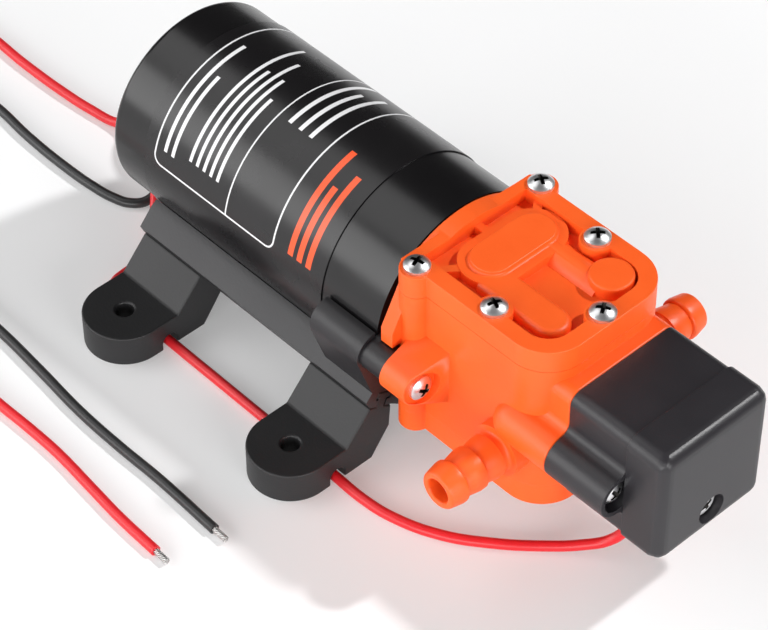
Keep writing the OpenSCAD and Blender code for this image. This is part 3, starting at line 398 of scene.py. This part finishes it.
white_bars = bar_rows(2, -32.6, 2.5, 31, 34, 0.9)
for layout in ((5, -24.6, 2.3, 29, 44, 0.8), (3, -7.4, 3.4, 8, 30, 1.0)):
    white_bars = white_bars.at_least(bar_rows(*layout))
orange_bars = bar_rows(3, 10.4, 2.9, 33, 30, 1.5)
film = label.mottle(label.noise(50, 4.0), (0.006, 0.0054, 0.006), (0.008, 0.0072, 0.008))
banded = label.mix(orange_bars, film, (0.86, 0.09, 0.02))
label.put("Base Color", label.mix(lines.at_least(white_bars), banded, (0.78, 0.78, 0.79)))
label.put("Roughness", 0.28 + (label.noise(90, 3.0) - 0.5) * 0.1)
label.bump(label.noise(350, 2.0), 0.00002)
label_film = label.material
print("label film ready")

# %% [markdown]
# ## Wires
#
# Two loose leads leave the motor's rear, run out of view, turn and come back to the near side, and a
# third wire joins the switch to the motor under the feet. A wire is a fixed length of something
# limp, so each one is a single smooth curve through the points that its solid follows.

# %% Lay a wire along its route
RED_ROUTE = [
    (-52.5, 8, 21), (-58.9, 8, 20.5), (-66.9, 7.5, 17), (-74.9, 6.2, 10.5), (-80, 4.6, 5),
    (-86, 2.8, 1.9), (-95, 1.5, 1.3), (-106, 0.6, 1.3), (-120, 0.3, 1.3), (-138, 0.5, 1.3),
    (-153, -2.5, 1.3),
    (-166, -11, 1.3), (-174.5, -24, 1.3), (-177.5, -39, 1.3), (-174.5, -54, 1.3), (-166, -67, 1.3),
    (-153, -75.5, 1.3), (-138, -78.5, 1.3), (-110, -78.5, 1.3), (-70, -78, 1.3), (-30, -77.8, 1.3),
    (-20, -77.5, 1.3), (-9, -77.6, 1.3), (3, -78.6, 1.3), (15, -79.6, 1.3), (27.5, -80, 1.3),
]
BLACK_ROUTE = [
    (-52.5, 2, 21), (-56.9, 2.1, 20), (-60.9, 1.8, 16), (-62.4, 0.5, 11), (-61.7, -2.5, 6),
    (-59.5, -6.5, 2.8), (-59.4, -10, 1.6), (-61.8, -13.2, 1.3), (-66, -15, 1.3), (-72, -16, 1.3),
    (-84, -16.6, 1.3), (-98, -16.3, 1.3), (-112, -15.2, 1.3), (-125, -16.2, 1.3), (-135, -22, 1.3),
    (-140.2, -30, 1.3), (-142, -39, 1.3), (-140.2, -48, 1.3), (-135, -56, 1.3), (-125, -61.8, 1.3),
    (-112, -63.2, 1.3), (-80, -63, 1.3), (-49, -63.3, 1.3), (-32, -64.5, 1.3), (-16, -65.9, 1.3),
    (-1.5, -66.2, 1.3), (12, -66, 1.3), (31.5, -66.6, 1.3),
]
SWITCH_ROUTE = [
    (98.3, -5, 17.85), (98.3, -5, 14.05), (97.6, -5.8, 9.45), (95, -8, 5.05), (90.5, -11.8, 2.6),
    (84, -17.6, 1.3), (75.6, -25.3, 1.3), (66.5, -31.6, 1.3), (55.4, -35.8, 1.3), (47, -36.9, 1.3),
    (38, -36.8, 1.3), (18, -36.7, 1.3), (0, -36.6, 1.3), (-18, -36.5, 1.3), (-38.6, -36.3, 1.3),
    (-41.4, -35.4, 1.3), (-43.2, -33.2, 1.3), (-43.8, -30, 1.3), (-44, -25, 1.3), (-46, -19.5, 1.3),
    (-50.9, -14.6, 1.8), (-55.3, -10.6, 4), (-58.5, -7.2, 8.4), (-59.9, -5, 13.4), (-59.3, -4.1, 18),
    (-56.5, -4, 20.6), (-52.5, -4, 21),
]
WIRE_D = 2.5 * MM


def lay_wire(name, route, finish):
    curve = bpy.data.curves.new(name, "CURVE")
    curve.dimensions = "3D"
    curve.resolution_u = 6
    curve.bevel_depth = WIRE_D / 2
    curve.bevel_resolution = 5
    curve.use_fill_caps = True
    spline = curve.splines.new("BEZIER")
    spline.bezier_points.add(len(route) - 1)
    for knot, point in zip(spline.bezier_points, route):
        knot.co = Vector(point) * MM
        knot.handle_left_type = knot.handle_right_type = "AUTO"
    curve.materials.append(finish)
    wire = link(name, curve)
    print(name, "is", round(spline.calc_length(), 3), "m long")
    return wire


red_wire = lay_wire("red_wire", RED_ROUTE, red_insulation)
black_wire = lay_wire("black_wire", BLACK_ROUTE, black_insulation)
switch_wire = lay_wire("switch_wire", SWITCH_ROUTE, red_insulation)


# %% [markdown]
# ## Building with Geometry Nodes
#
# A tree of geometry nodes is written once and used wherever a shape repeats. The helper below adds
# nodes to a tree, gives the tree named inputs, and turns the result into a plain mesh, with no
# instances and no live trees left.

# %% A helper for geometry trees
class Tree:
    def __init__(self, name, inputs):
        self.group = bpy.data.node_groups.new(name, "GeometryNodeTree")
        self.group.interface.new_socket("Geometry", in_out="INPUT", socket_type="NodeSocketGeometry")
        for title, kind, value in inputs:
            socket = self.group.interface.new_socket(title, in_out="INPUT", socket_type=kind)
            if value is not None:
                socket.default_value = value
        self.group.interface.new_socket("Geometry", in_out="OUTPUT", socket_type="NodeSocketGeometry")
        self.input = self.group.nodes.new("NodeGroupInput")
        self.output = self.group.nodes.new("NodeGroupOutput")

    def get(self, title):
        return Signal(self.group, self.input.outputs[title])

    def add(self, kind, settings=None, output=0, **values):
        step = self.group.nodes.new(kind)
        for name, value in (settings or {}).items():
            setattr(step, name, value)
        for name, value in values.items():
            title = name.replace("_", " ")
            parts = value if isinstance(value, list) else [value]
            socket = next(s for s in step.inputs if title in (s.name, s.identifier) and s.enabled)
            for part in parts:
                plug(self.group, socket, part)
        return Signal(self.group, step.outputs[output])

    def vector(self, x, y, z):
        return self.add("ShaderNodeCombineXYZ", X=x, Y=y, Z=z)

    def close(self, shape, material):
        whole = self.add("GeometryNodeRealizeInstances", Geometry=shape)
        dressed = self.add("GeometryNodeSetMaterial", Geometry=whole, Material=material)
        self.group.links.new(dressed.socket, self.output.inputs[0])


def grow(name, mesh, tree, **sizes):
    """Runs a tree on a mesh and returns the result as an object with a plain mesh."""
    seed = link(name + "_seed", mesh)
    modifier = seed.modifiers.new("tree", "NODES")
    modifier.node_group = tree.group
    for item in tree.group.interface.items_tree:
        title = item.name.replace(" ", "_")
        if item.in_out == "INPUT" and title in sizes:
            modifier[item.identifier] = sizes[title]
    evaluated = seed.evaluated_get(bpy.context.evaluated_depsgraph_get())
    result = bpy.data.meshes.new_from_object(evaluated)
    bpy.data.objects.remove(seed)
    result.name = name
    print(name, "has", len(result.polygons), "faces")
    return link(name, result)


def seats(name, places):
    """A mesh of loose points, each with the direction that a screw's head faces and its turn."""
    mesh = bpy.data.meshes.new(name)
    mesh.from_pydata([Vector(p) * MM for p, axis, turn in places], [], [])
    facing = mesh.attributes.new("facing", "FLOAT_VECTOR", "POINT")
    facing.data.foreach_set("vector", [v for p, axis, turn in places for v in axis])
    turns = mesh.attributes.new("turn", "FLOAT", "POINT")
    turns.data.foreach_set("value", [math.radians(turn) for p, axis, turn in places])
    return mesh


# %% [markdown]
# ## Screws
#
# All the screws are plated pan heads with a cross recess. One tree makes the head as a slice of a
# ball cut to a round rim, sinks two crossed wedges into it and adds the shank, then sets a copy on
# each seat, turned the way the screw faces. Each screw stops at its own angle, as real ones do.

# %% The pan-head screw tree
screw_tree = Tree(
    "pan_head_screw",
    [
        ("Head Diameter", "NodeSocketFloat", 6 * MM),
        ("Head Height", "NodeSocketFloat", 2 * MM),
        ("Dome Share", "NodeSocketFloat", 0.62),
        ("Shank Diameter", "NodeSocketFloat", 3 * MM),
        ("Shank Length", "NodeSocketFloat", 12 * MM),
        ("Finish", "NodeSocketMaterial", None),
    ],
)
head_d = screw_tree.get("Head Diameter")
head_h = screw_tree.get("Head Height")
shank_d = screw_tree.get("Shank Diameter")
shank_l = screw_tree.get("Shank Length")
dome_h = head_h * screw_tree.get("Dome Share")
dome_r = (head_d * head_d / 4 + dome_h * dome_h) / (2 * dome_h)
dome = screw_tree.add(
    "GeometryNodeTransform",
    Geometry=screw_tree.add("GeometryNodeMeshUVSphere", Segments=48, Rings=48, Radius=dome_r),
    Translation=screw_tree.vector(0.0, 0.0, head_h - dome_r),
)
rim = screw_tree.add(
    "GeometryNodeTransform",
    Geometry=screw_tree.add(
        "GeometryNodeMeshCylinder", Vertices=48, Radius=head_d / 2, Depth=head_h * 2.0
    ),
    Translation=screw_tree.vector(0.0, 0.0, head_h),
)
head = screw_tree.add(
    "GeometryNodeMeshBoolean", {"operation": "INTERSECT", "solver": "EXACT"}, Mesh_2=[dome, rim]
)
RECESS_MOUTH, RECESS_FOOT = 0.42, 0.17
RECESS_DEPTH, RECESS_RISE = 0.9, 0.35
ARM_SHAPE = (1.25, 0.32, 1.0)


def wedge(turn):
    """One arm of the cross recess, marked so that the finish can paint shade into it."""
    cone = screw_tree.add(
        "GeometryNodeMeshCone", Vertices=4, Radius_Top=head_d * RECESS_MOUTH,
        Radius_Bottom=head_d * RECESS_FOOT, Depth=head_h * RECESS_DEPTH,
    )
    marked = screw_tree.add(
        "GeometryNodeStoreNamedAttribute", {"data_type": "FLOAT", "domain": "FACE"},
        Geometry=cone, Name="recess", Value=1.0,
    )
    return screw_tree.add(
        "GeometryNodeTransform",
        Geometry=screw_tree.add(
            "GeometryNodeTransform", Geometry=marked, Rotation=(0.0, 0.0, math.radians(45)),
        ),
        Translation=screw_tree.vector(0.0, 0.0, head_h * RECESS_RISE),
        Rotation=(0.0, 0.0, turn),
        Scale=ARM_SHAPE,
    )


cut = screw_tree.add(
    "GeometryNodeMeshBoolean", {"operation": "DIFFERENCE", "solver": "EXACT"}, Mesh_1=head,
    Mesh_2=[wedge(0.0), wedge(math.pi / 2)],
)
shank = screw_tree.add(
    "GeometryNodeTransform",
    Geometry=screw_tree.add("GeometryNodeMeshCylinder", Vertices=24, Radius=shank_d / 2, Depth=shank_l),
    Translation=screw_tree.vector(0.0, 0.0, shank_l * -0.5),
)
screw = screw_tree.add("GeometryNodeJoinGeometry", Geometry=[cut, shank])
facing = screw_tree.add(
    "GeometryNodeInputNamedAttribute", {"data_type": "FLOAT_VECTOR"}, Name="facing"
)
turn = screw_tree.add("GeometryNodeInputNamedAttribute", {"data_type": "FLOAT"}, Name="turn")
aligned = screw_tree.add("FunctionNodeAlignRotationToVector", {"axis": "Z"}, Vector=facing)
spun = screw_tree.add(
    "FunctionNodeRotateRotation",
    {"rotation_space": "LOCAL"},
    Rotation=aligned,
    Rotate_By=screw_tree.add("FunctionNodeEulerToRotation", Euler=screw_tree.vector(0.0, 0.0, turn)),
)
placed = screw_tree.add(
    "GeometryNodeInstanceOnPoints", Points=screw_tree.get("Geometry"), Instance=screw, Rotation=spun
)
screw_tree.close(placed, screw_tree.get("Finish"))
print("the screw tree has", len(screw_tree.group.nodes), "nodes")


# %% Set the screws on their seats
def screw_set(name, node, places, length, body="frame", finish=plated_steel, dome=0.62):
    piece = grow(
        name, seats(name + "_seats", places), screw_tree,
        Shank_Length=length * MM, Dome_Share=dome, Finish=finish,
    )
    shade_smooth(piece.data, CREASE)
    declare(piece, node, body)


UP, DOWN, FRONT = (0, 0, 1), (0, 0, -1), (1, 0, 0)
COVER_SEATS = [(44.8, 18.5), (44.8, -18.5), (64.9, 15.4), (64.9, -15.4), (81.4, 0)]
TURNS = [62, 15, 48, 70, 33]
top_seats = [((x, y, 59.1), UP, turn) for (x, y), turn in zip(COVER_SEATS, TURNS)]
bottom_seats = [((x, y, 12.1), DOWN, turn + 20) for (x, y), turn in zip(COVER_SEATS, TURNS)]
ear_seats = [((53.2, side * 25.7, 34.0), FRONT, 30 * side) for side in (1, -1)]
tube_seats = [((102.0, side * 17.5, 34.6), FRONT, 52 * side) for side in (1, -1)]
well_seat = [((111.9, 0, 25.9), FRONT, 20)]
screw_set("top_screws", "top_cover_screws", top_seats, 12)
screw_set("bottom_screws", "bottom_cover_screws", bottom_seats, 12)
screw_set("side_screws", "ear_screws", ear_seats, 13.4)
screw_set("long_screws", "switch_screws", tube_seats, 22)
screw_set("set_screw", "pressure_adjuster", well_seat, 6.7, "adjuster", zinc_flake, 0.3)

# %% [markdown]
# ## Pressure spring and wire ends
#
# A coil spring follows a rule, so a spiral curve with a round profile makes it. The same idea makes
# the tinned strands at the end of each loose lead: a few thin spirals laid round a straight core.

# %% Spirals with thickness
spiral_tree = Tree(
    "thick_spirals",
    [
        ("Strands", "NodeSocketInt", 1),
        ("Turns", "NodeSocketFloat", 4.0),
        ("Radius", "NodeSocketFloat", 4.6 * MM),
        ("Length", "NodeSocketFloat", 7 * MM),
        ("Thickness", "NodeSocketFloat", 0.9 * MM),
        ("Finish", "NodeSocketMaterial", None),
    ],
)
spiral = spiral_tree.add(
    "GeometryNodeCurveSpiral", Resolution=24, Rotations=spiral_tree.get("Turns"),
    Start_Radius=spiral_tree.get("Radius"), End_Radius=spiral_tree.get("Radius"),
    Height=spiral_tree.get("Length"),
)
rod = spiral_tree.add(
    "GeometryNodeCurveToMesh",
    Curve=spiral,
    Profile_Curve=spiral_tree.add(
        "GeometryNodeCurvePrimitiveCircle", Resolution=10, Radius=spiral_tree.get("Thickness") / 2
    ),
    Fill_Caps=True,
)
points = spiral_tree.add("GeometryNodePoints", Count=spiral_tree.get("Strands"))
index = spiral_tree.add("GeometryNodeInputIndex")
strands = spiral_tree.add(
    "GeometryNodeInstanceOnPoints", Points=points, Instance=rod,
    Rotation=spiral_tree.add(
        "FunctionNodeEulerToRotation",
        Euler=spiral_tree.vector(0.0, 0.0, index * (2 * math.pi) / spiral_tree.get("Strands")),
    ),
)
spiral_tree.close(strands, spiral_tree.get("Finish"))


def lay_down(piece, place, direction):
    """Moves a piece that stands on Z so that it starts at a place and points in a direction."""
    turned = Vector(direction).to_track_quat("Z", "Y").to_matrix().to_4x4()
    piece.data.transform(Matrix.Translation(Vector(place) * MM) @ turned)
    shade_smooth(piece.data)


empty_mesh = bpy.data.meshes.new("no_points")
spring = grow("coil_spring", empty_mesh, spiral_tree, Length=7.1 * MM, Finish=turned_steel)
lay_down(spring, (90.45, 0, 35.6), (1, 0, 0))
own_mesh(spring)
declare(spring, "pressure_spring", "frame")


# %% Bare wire ends
BARE_LENGTH = 4.0 * MM
STRAND_RINGS = [(7, 0.6, 0.53, 0.5), (3, 0.4, 0.2, 0.46)]


def bare_end(name, node, route):
    joined = bmesh.new()
    for count, turns, radius, thickness in STRAND_RINGS:
        ring = grow(
            f"{name}_{count}", empty_mesh, spiral_tree, Strands=count, Turns=turns, Radius=radius * MM,
            Length=BARE_LENGTH, Thickness=thickness * MM, Finish=tinned_wire,
        )
        joined.from_mesh(ring.data)
        bpy.data.objects.remove(ring)
    mesh = bpy.data.meshes.new(name)
    joined.to_mesh(mesh)
    joined.free()
    mesh.materials.append(tinned_wire)
    piece = link(name, mesh)
    lay_down(piece, route[-1], Vector(route[-1]) - Vector(route[-2]))
    declare(piece, node, "frame")
    return piece


red_strands = bare_end("red_strands", "red_lead_end", RED_ROUTE)
black_strands = bare_end("black_strands", "black_lead_end", BLACK_ROUTE)

for wire, node, slot, route, length, end, extra in (
    (red_wire, "red_lead", "red_insulation", RED_ROUTE, 0.38, "bare", [red_strands]),
    (black_wire, "black_lead", "black_insulation", BLACK_ROUTE, 0.32, "bare", [black_strands]),
    (switch_wire, "switch_lead", "red_insulation", SWITCH_ROUTE, 0.22, "object", []),
):
    declare(wire, node, "frame")
    [v * MM for v in route[0]]
    print(wire.name, "stands for", node)

# %% [markdown]
# ## Moulded edges
#
# A moulding never has a knife edge. The solids are exact and sharp, so each visible one gets a copy
# whose triangles are merged back into flat faces and whose edges are rounded by a small bevel. Edges
# that touch are rounded together, so that a thin wall limits only its neighbours. The copy takes the
# solid's place, and the solid itself stays untouched.

# %% Round the edges of a copy
SHARP = math.radians(28)
FLAT = math.radians(0.6)
WELD = 0.002 * MM


def sharp_chains(work):
    """Groups the sharp edges that touch."""
    chains, seen = [], set()
    for first in work.edges:
        if first in seen or first.calc_face_angle(0.0) <= SHARP:
            continue
        chain, heap = [], [first]
        seen.add(first)
        while heap:
            edge = heap.pop()
            chain.append(edge)
            for other in [e for vert in edge.verts for e in vert.link_edges]:
                if other not in seen and other.calc_face_angle(0.0) > SHARP:
                    seen.add(other)
                    heap.append(other)
        chains.append(chain)
    return chains


def open_copy(node, name, finish):
    """Copies a solid's mesh, joins its doubled points and melts the edges inside its flat faces."""
    mesh = nodes[node].data.copy()
    mesh.name = name
    mesh.materials.clear()
    mesh.materials.append(finish)
    work = bmesh.new()
    work.from_mesh(mesh)
    bmesh.ops.remove_doubles(work, verts=work.verts, dist=WELD)
    bmesh.ops.dissolve_limit(
        work, angle_limit=FLAT, verts=work.verts, edges=work.edges, use_dissolve_boundaries=False
    )
    return mesh, work


def close_copy(mesh, work, node, body):
    """Writes the worked mesh back and puts it in the solid's place."""
    work.to_mesh(mesh)
    work.free()
    piece = link(mesh.name, mesh)
    shade_smooth(mesh, CREASE)
    piece.modifiers.new("flat_faces_stay_flat", "WEIGHTED_NORMAL").keep_sharp = True
    evaluated = piece.evaluated_get(bpy.context.evaluated_depsgraph_get())
    piece.data = bpy.data.meshes.new_from_object(evaluated)
    piece.modifiers.clear()
    declare(piece, node, body)
    return piece


def soften(work, node, radius):
    """Pulls the corners of a box that is open at the rear onto a box with rounder edges."""
    low, high = (Vector(corner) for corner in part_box(node))
    core_low = low + Vector((0, radius, radius))
    core_high = high - Vector((radius, radius, radius))
    for corner, axes in ((core_low, (1, 2)), (core_high, (0, 1, 2))):
        for axis in axes:
            normal = Vector([float(axis == place) for place in range(3)])
            whole = work.verts[:] + work.edges[:] + work.faces[:]
            bmesh.ops.bisect_plane(work, geom=whole, dist=1e-7, plane_co=corner, plane_no=normal)
    for vert in work.verts:
        inner = Vector([min(max(c, a), b) for c, a, b in zip(vert.co, core_low, core_high)])
        out = vert.co - inner
        if out.length > radius:
            vert.co = inner + out.normalized() * radius


def moulded(node, body, finish, width, corner=0):
    """Replaces a solid by a copy with rounded edges, and rounder corners where corner says so."""
    mesh, work = open_copy(node, node + "_moulding", finish)
    if corner:
        soften(work, node, corner * MM)
    number = work.edges.layers.int.new("chain")
    chains = sharp_chains(work)
    for index, chain in enumerate(chains, 1):
        for edge in chain:
            edge[number] = index
    for index in range(1, len(chains) + 1):
        bmesh.ops.bevel(
            work, geom=[edge for edge in work.edges if edge[number] == index], offset=width * MM,
            offset_type="OFFSET", segments=4, profile=0.5, affect="EDGES", clamp_overlap=True,
            loop_slide=True, material=-1,
        )
    piece = close_copy(mesh, work, node, body)
    print(piece.name, "has", len(chains), "rounded chains and", len(piece.data.polygons), "faces")


# %% The mouldings
for node, finish, slot, width in (
    ("pump_body", orange_moulding, "orange_plastic", 0.7),
    ("top_cover", orange_moulding, "orange_plastic", 0.7),
    ("bottom_cover", orange_moulding, "orange_plastic", 0.7),
    ("switch_housing", switch_moulding, "black_plastic", 0.15),
    ("base_bracket", black_moulding, "black_plastic", 0.5),
    ("motor_flange", black_moulding, "black_plastic", 0.4),
):
    moulded(node, "frame", finish, width)
for foot in ("foot_front_left", "foot_front_right", "foot_rear_left", "foot_rear_right"):
    moulded(foot, foot, foot_rubber, 0.6)
moulded("switch_cap", "frame", switch_moulding, 0.15, corner=3.2)

# %% [markdown]
# ## Diaphragms
#
# The middle of a diaphragm is clamped to the yoke and moves with it, and the body holds its rim. So
# each one is cut just outside its clamp disc: the hub rides on the yoke, the rim stays on the frame,
# and the gap between them leaves room for the small circle in which the yoke moves.

# %% Cut the diaphragms
HUB_RADIUS = 7.15 * MM
ORBIT_ROOM = 1.4 * MM
WEB_SLOPE = -0.208


def diaphragm_part(node, part, body):
    mesh, work = open_copy(node, f"{node}_{part}", inner_rubber)
    low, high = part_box(node)
    middle = (low[0] + high[0]) / 2

    def reach(vert):
        return math.hypot(vert.co.x - middle, vert.co.y)

    def in_hub(face):
        return max(reach(vert) for vert in face.verts) < HUB_RADIUS

    other_part = [face for face in work.faces if in_hub(face) != (part == "hub")]
    bmesh.ops.delete(work, geom=other_part, context="FACES")
    if part == "rim":
        for vert in [vert for vert in work.verts if reach(vert) < HUB_RADIUS]:
            outward = Vector((vert.co.x - middle, vert.co.y, 0)).normalized()
            vert.co += (outward + Vector((0, 0, WEB_SLOPE))) * ORBIT_ROOM
    bmesh.ops.bridge_loops(work, edges=[edge for edge in work.edges if edge.is_boundary])
    bmesh.ops.recalc_face_normals(work, faces=work.faces)
    open_edges = sum(not edge.is_manifold for edge in work.edges)
    piece = close_copy(mesh, work, node, body)
    print(piece.name, "has", len(piece.data.polygons), "faces and", open_edges, "open edges")


for node in ("top_diaphragm", "bottom_diaphragm"):
    diaphragm_part(node, "hub", "yoke")
    diaphragm_part(node, "rim", "frame")

# %% [markdown]
# ## Finishes on the remaining solids
#
# The solids whose shape is already right keep their own mesh and only take a finish.

# %% Dress the solids
FINISHES = {
    motor_paint: ["motor_can", "rear_cap"],
    label_film: ["motor_label"],
    foot_rubber: ["wire_grommet", "switch_gland"],
    inner_rubber: ["top_valves", "bottom_valves", "switch_membrane"],
    ivory_moulding: [
        "top_valve_plate", "bottom_valve_plate", "top_clamp_disc", "bottom_clamp_disc", "yoke",
        "switch_plunger",
    ],
    turned_steel: ["rotor_shaft", "eccentric", "yoke_bearing", "clamp_screws"],
    stacked_sheets: ["armature_core"],
    copper: ["armature_windings", "commutator", "motor_bushes", "switch_terminals"],
    ferrite: ["magnets", "brushes"],
    black_moulding: ["microswitch"],
    red_insulation: ["microswitch_button"],
}
for finish, names in FINISHES.items():
    for name in names:
        nodes[name].data.materials.clear()
        nodes[name].data.materials.append(finish)
print("dressed", sum(len(names) for names in FINISHES.values()), "solids")

# %% [markdown]
# ## Floor and light
#
# The photograph has a white floor. The faces that look up are darker than those that look sideways,
# so most light comes from a pale wall on the near side and little from the back and the ceiling. A
# small lamp behind the pump throws the shadow, and softboxes to the left, near, in front and above
# lift the faces that the camera sees. A colour shows about as it is written.

# %% Floor
FLOOR_HALF = 3
FLOOR_GLOW = 0.25
corners = [(x * FLOOR_HALF, y * FLOOR_HALF) for x, y in ((-1, -1), (1, -1), (1, 1), (-1, 1))]
floor_mesh = bpy.data.meshes.new("pale_floor")
floor_mesh.from_pydata([(x, y, 0) for x, y in corners], [], [(0, 1, 2, 3)])
pale_floor = link("pale_floor", floor_mesh)
paint = Finish("pale_floor_paint", Roughness=0.9, Specular_IOR_Level=0.1)
paint.put("Base Color", paint.mottle(paint.noise(4.0), (0.92, 0.92, 0.925), (0.94, 0.94, 0.945)))
seen = paint.add("ShaderNodeLightPath", output="Is Camera Ray")
seen_paths = seen.socket.node
for ray in ("Is Glossy Ray", "Is Transmission Ray"):
    seen = seen.at_least(Signal(paint.tree, seen_paths.outputs[ray]))
glow = paint.add("ShaderNodeEmission", Color=(1, 1, 1, 1), Strength=1.0)
blend = paint.tree.nodes.new("ShaderNodeMixShader")
plug(paint.tree, blend.inputs[0], seen * FLOOR_GLOW)
paint.tree.links.new(paint.shader.outputs[0], blend.inputs[1])
paint.tree.links.new(glow.socket, blend.inputs[2])
paint.tree.links.new(blend.outputs[0], paint.out.inputs["Surface"])
floor_mesh.materials.append(paint.material)
print("floor glows", FLOOR_GLOW, "to the camera")


# %% Lamps
LIT_POINT = Vector((0.03, 0, 0.03))


def soft_lamp(name, place, width, height, power):
    data = bpy.data.lights.new(name, "AREA")
    data.shape = "RECTANGLE"
    data.size = width
    data.size_y = height
    data.energy = power
    lamp = link(name, data)
    lamp.location = place
    lamp.rotation_euler = (LIT_POINT - Vector(place)).to_track_quat("-Z", "Y").to_euler()
    print(name, "gives", power, "W")


soft_lamp("back_softbox", (0.74, 1.24, 1.64), 0.12, 0.12, 31.0)
soft_lamp("left_softbox", (-1.26, -1.76, 0.87), 2.4, 1.4, 34.0)
soft_lamp("near_softbox", (0.90, -2.30, 0.62), 2.0, 1.0, 34.0)
soft_lamp("front_softbox", (2.45, -0.50, 0.66), 1.2, 1.0, 32.0)
soft_lamp("high_softbox", (-0.75, -0.28, 1.25), 1.0, 0.8, 4.0)

# %% World
world = bpy.data.worlds.new("studio")
bpy.context.scene.world = world
world.use_nodes = True
sky = world.node_tree
sky.nodes.clear()
ways = sky.nodes.new("ShaderNodeTexCoord")
split = sky.nodes.new("ShaderNodeSeparateXYZ")
sky.links.new(ways.outputs["Generated"], split.inputs[0])
rise = Signal(sky, split.outputs["Z"])
depth = Signal(sky, split.outputs["Y"])
WALL_LEVEL, DIM_LEVEL = 0.7, 0.05
near_wall = (1 - rise.above(0.04, 0.5)) * (1 - depth.above(-0.35, 0.6))
level = DIM_LEVEL + (WALL_LEVEL - DIM_LEVEL) * near_wall
studio = sky.nodes.new("ShaderNodeBackground")
studio.inputs["Color"].default_value = (1, 1, 1, 1)
plug(sky, studio.inputs["Strength"], level)
out = sky.nodes.new("ShaderNodeOutputWorld")
sky.links.new(studio.outputs[0], out.inputs["Surface"])
bpy.context.scene.view_settings.view_transform = "Standard"
print("the near wall gives", WALL_LEVEL, "and the rest of the room", DIM_LEVEL)
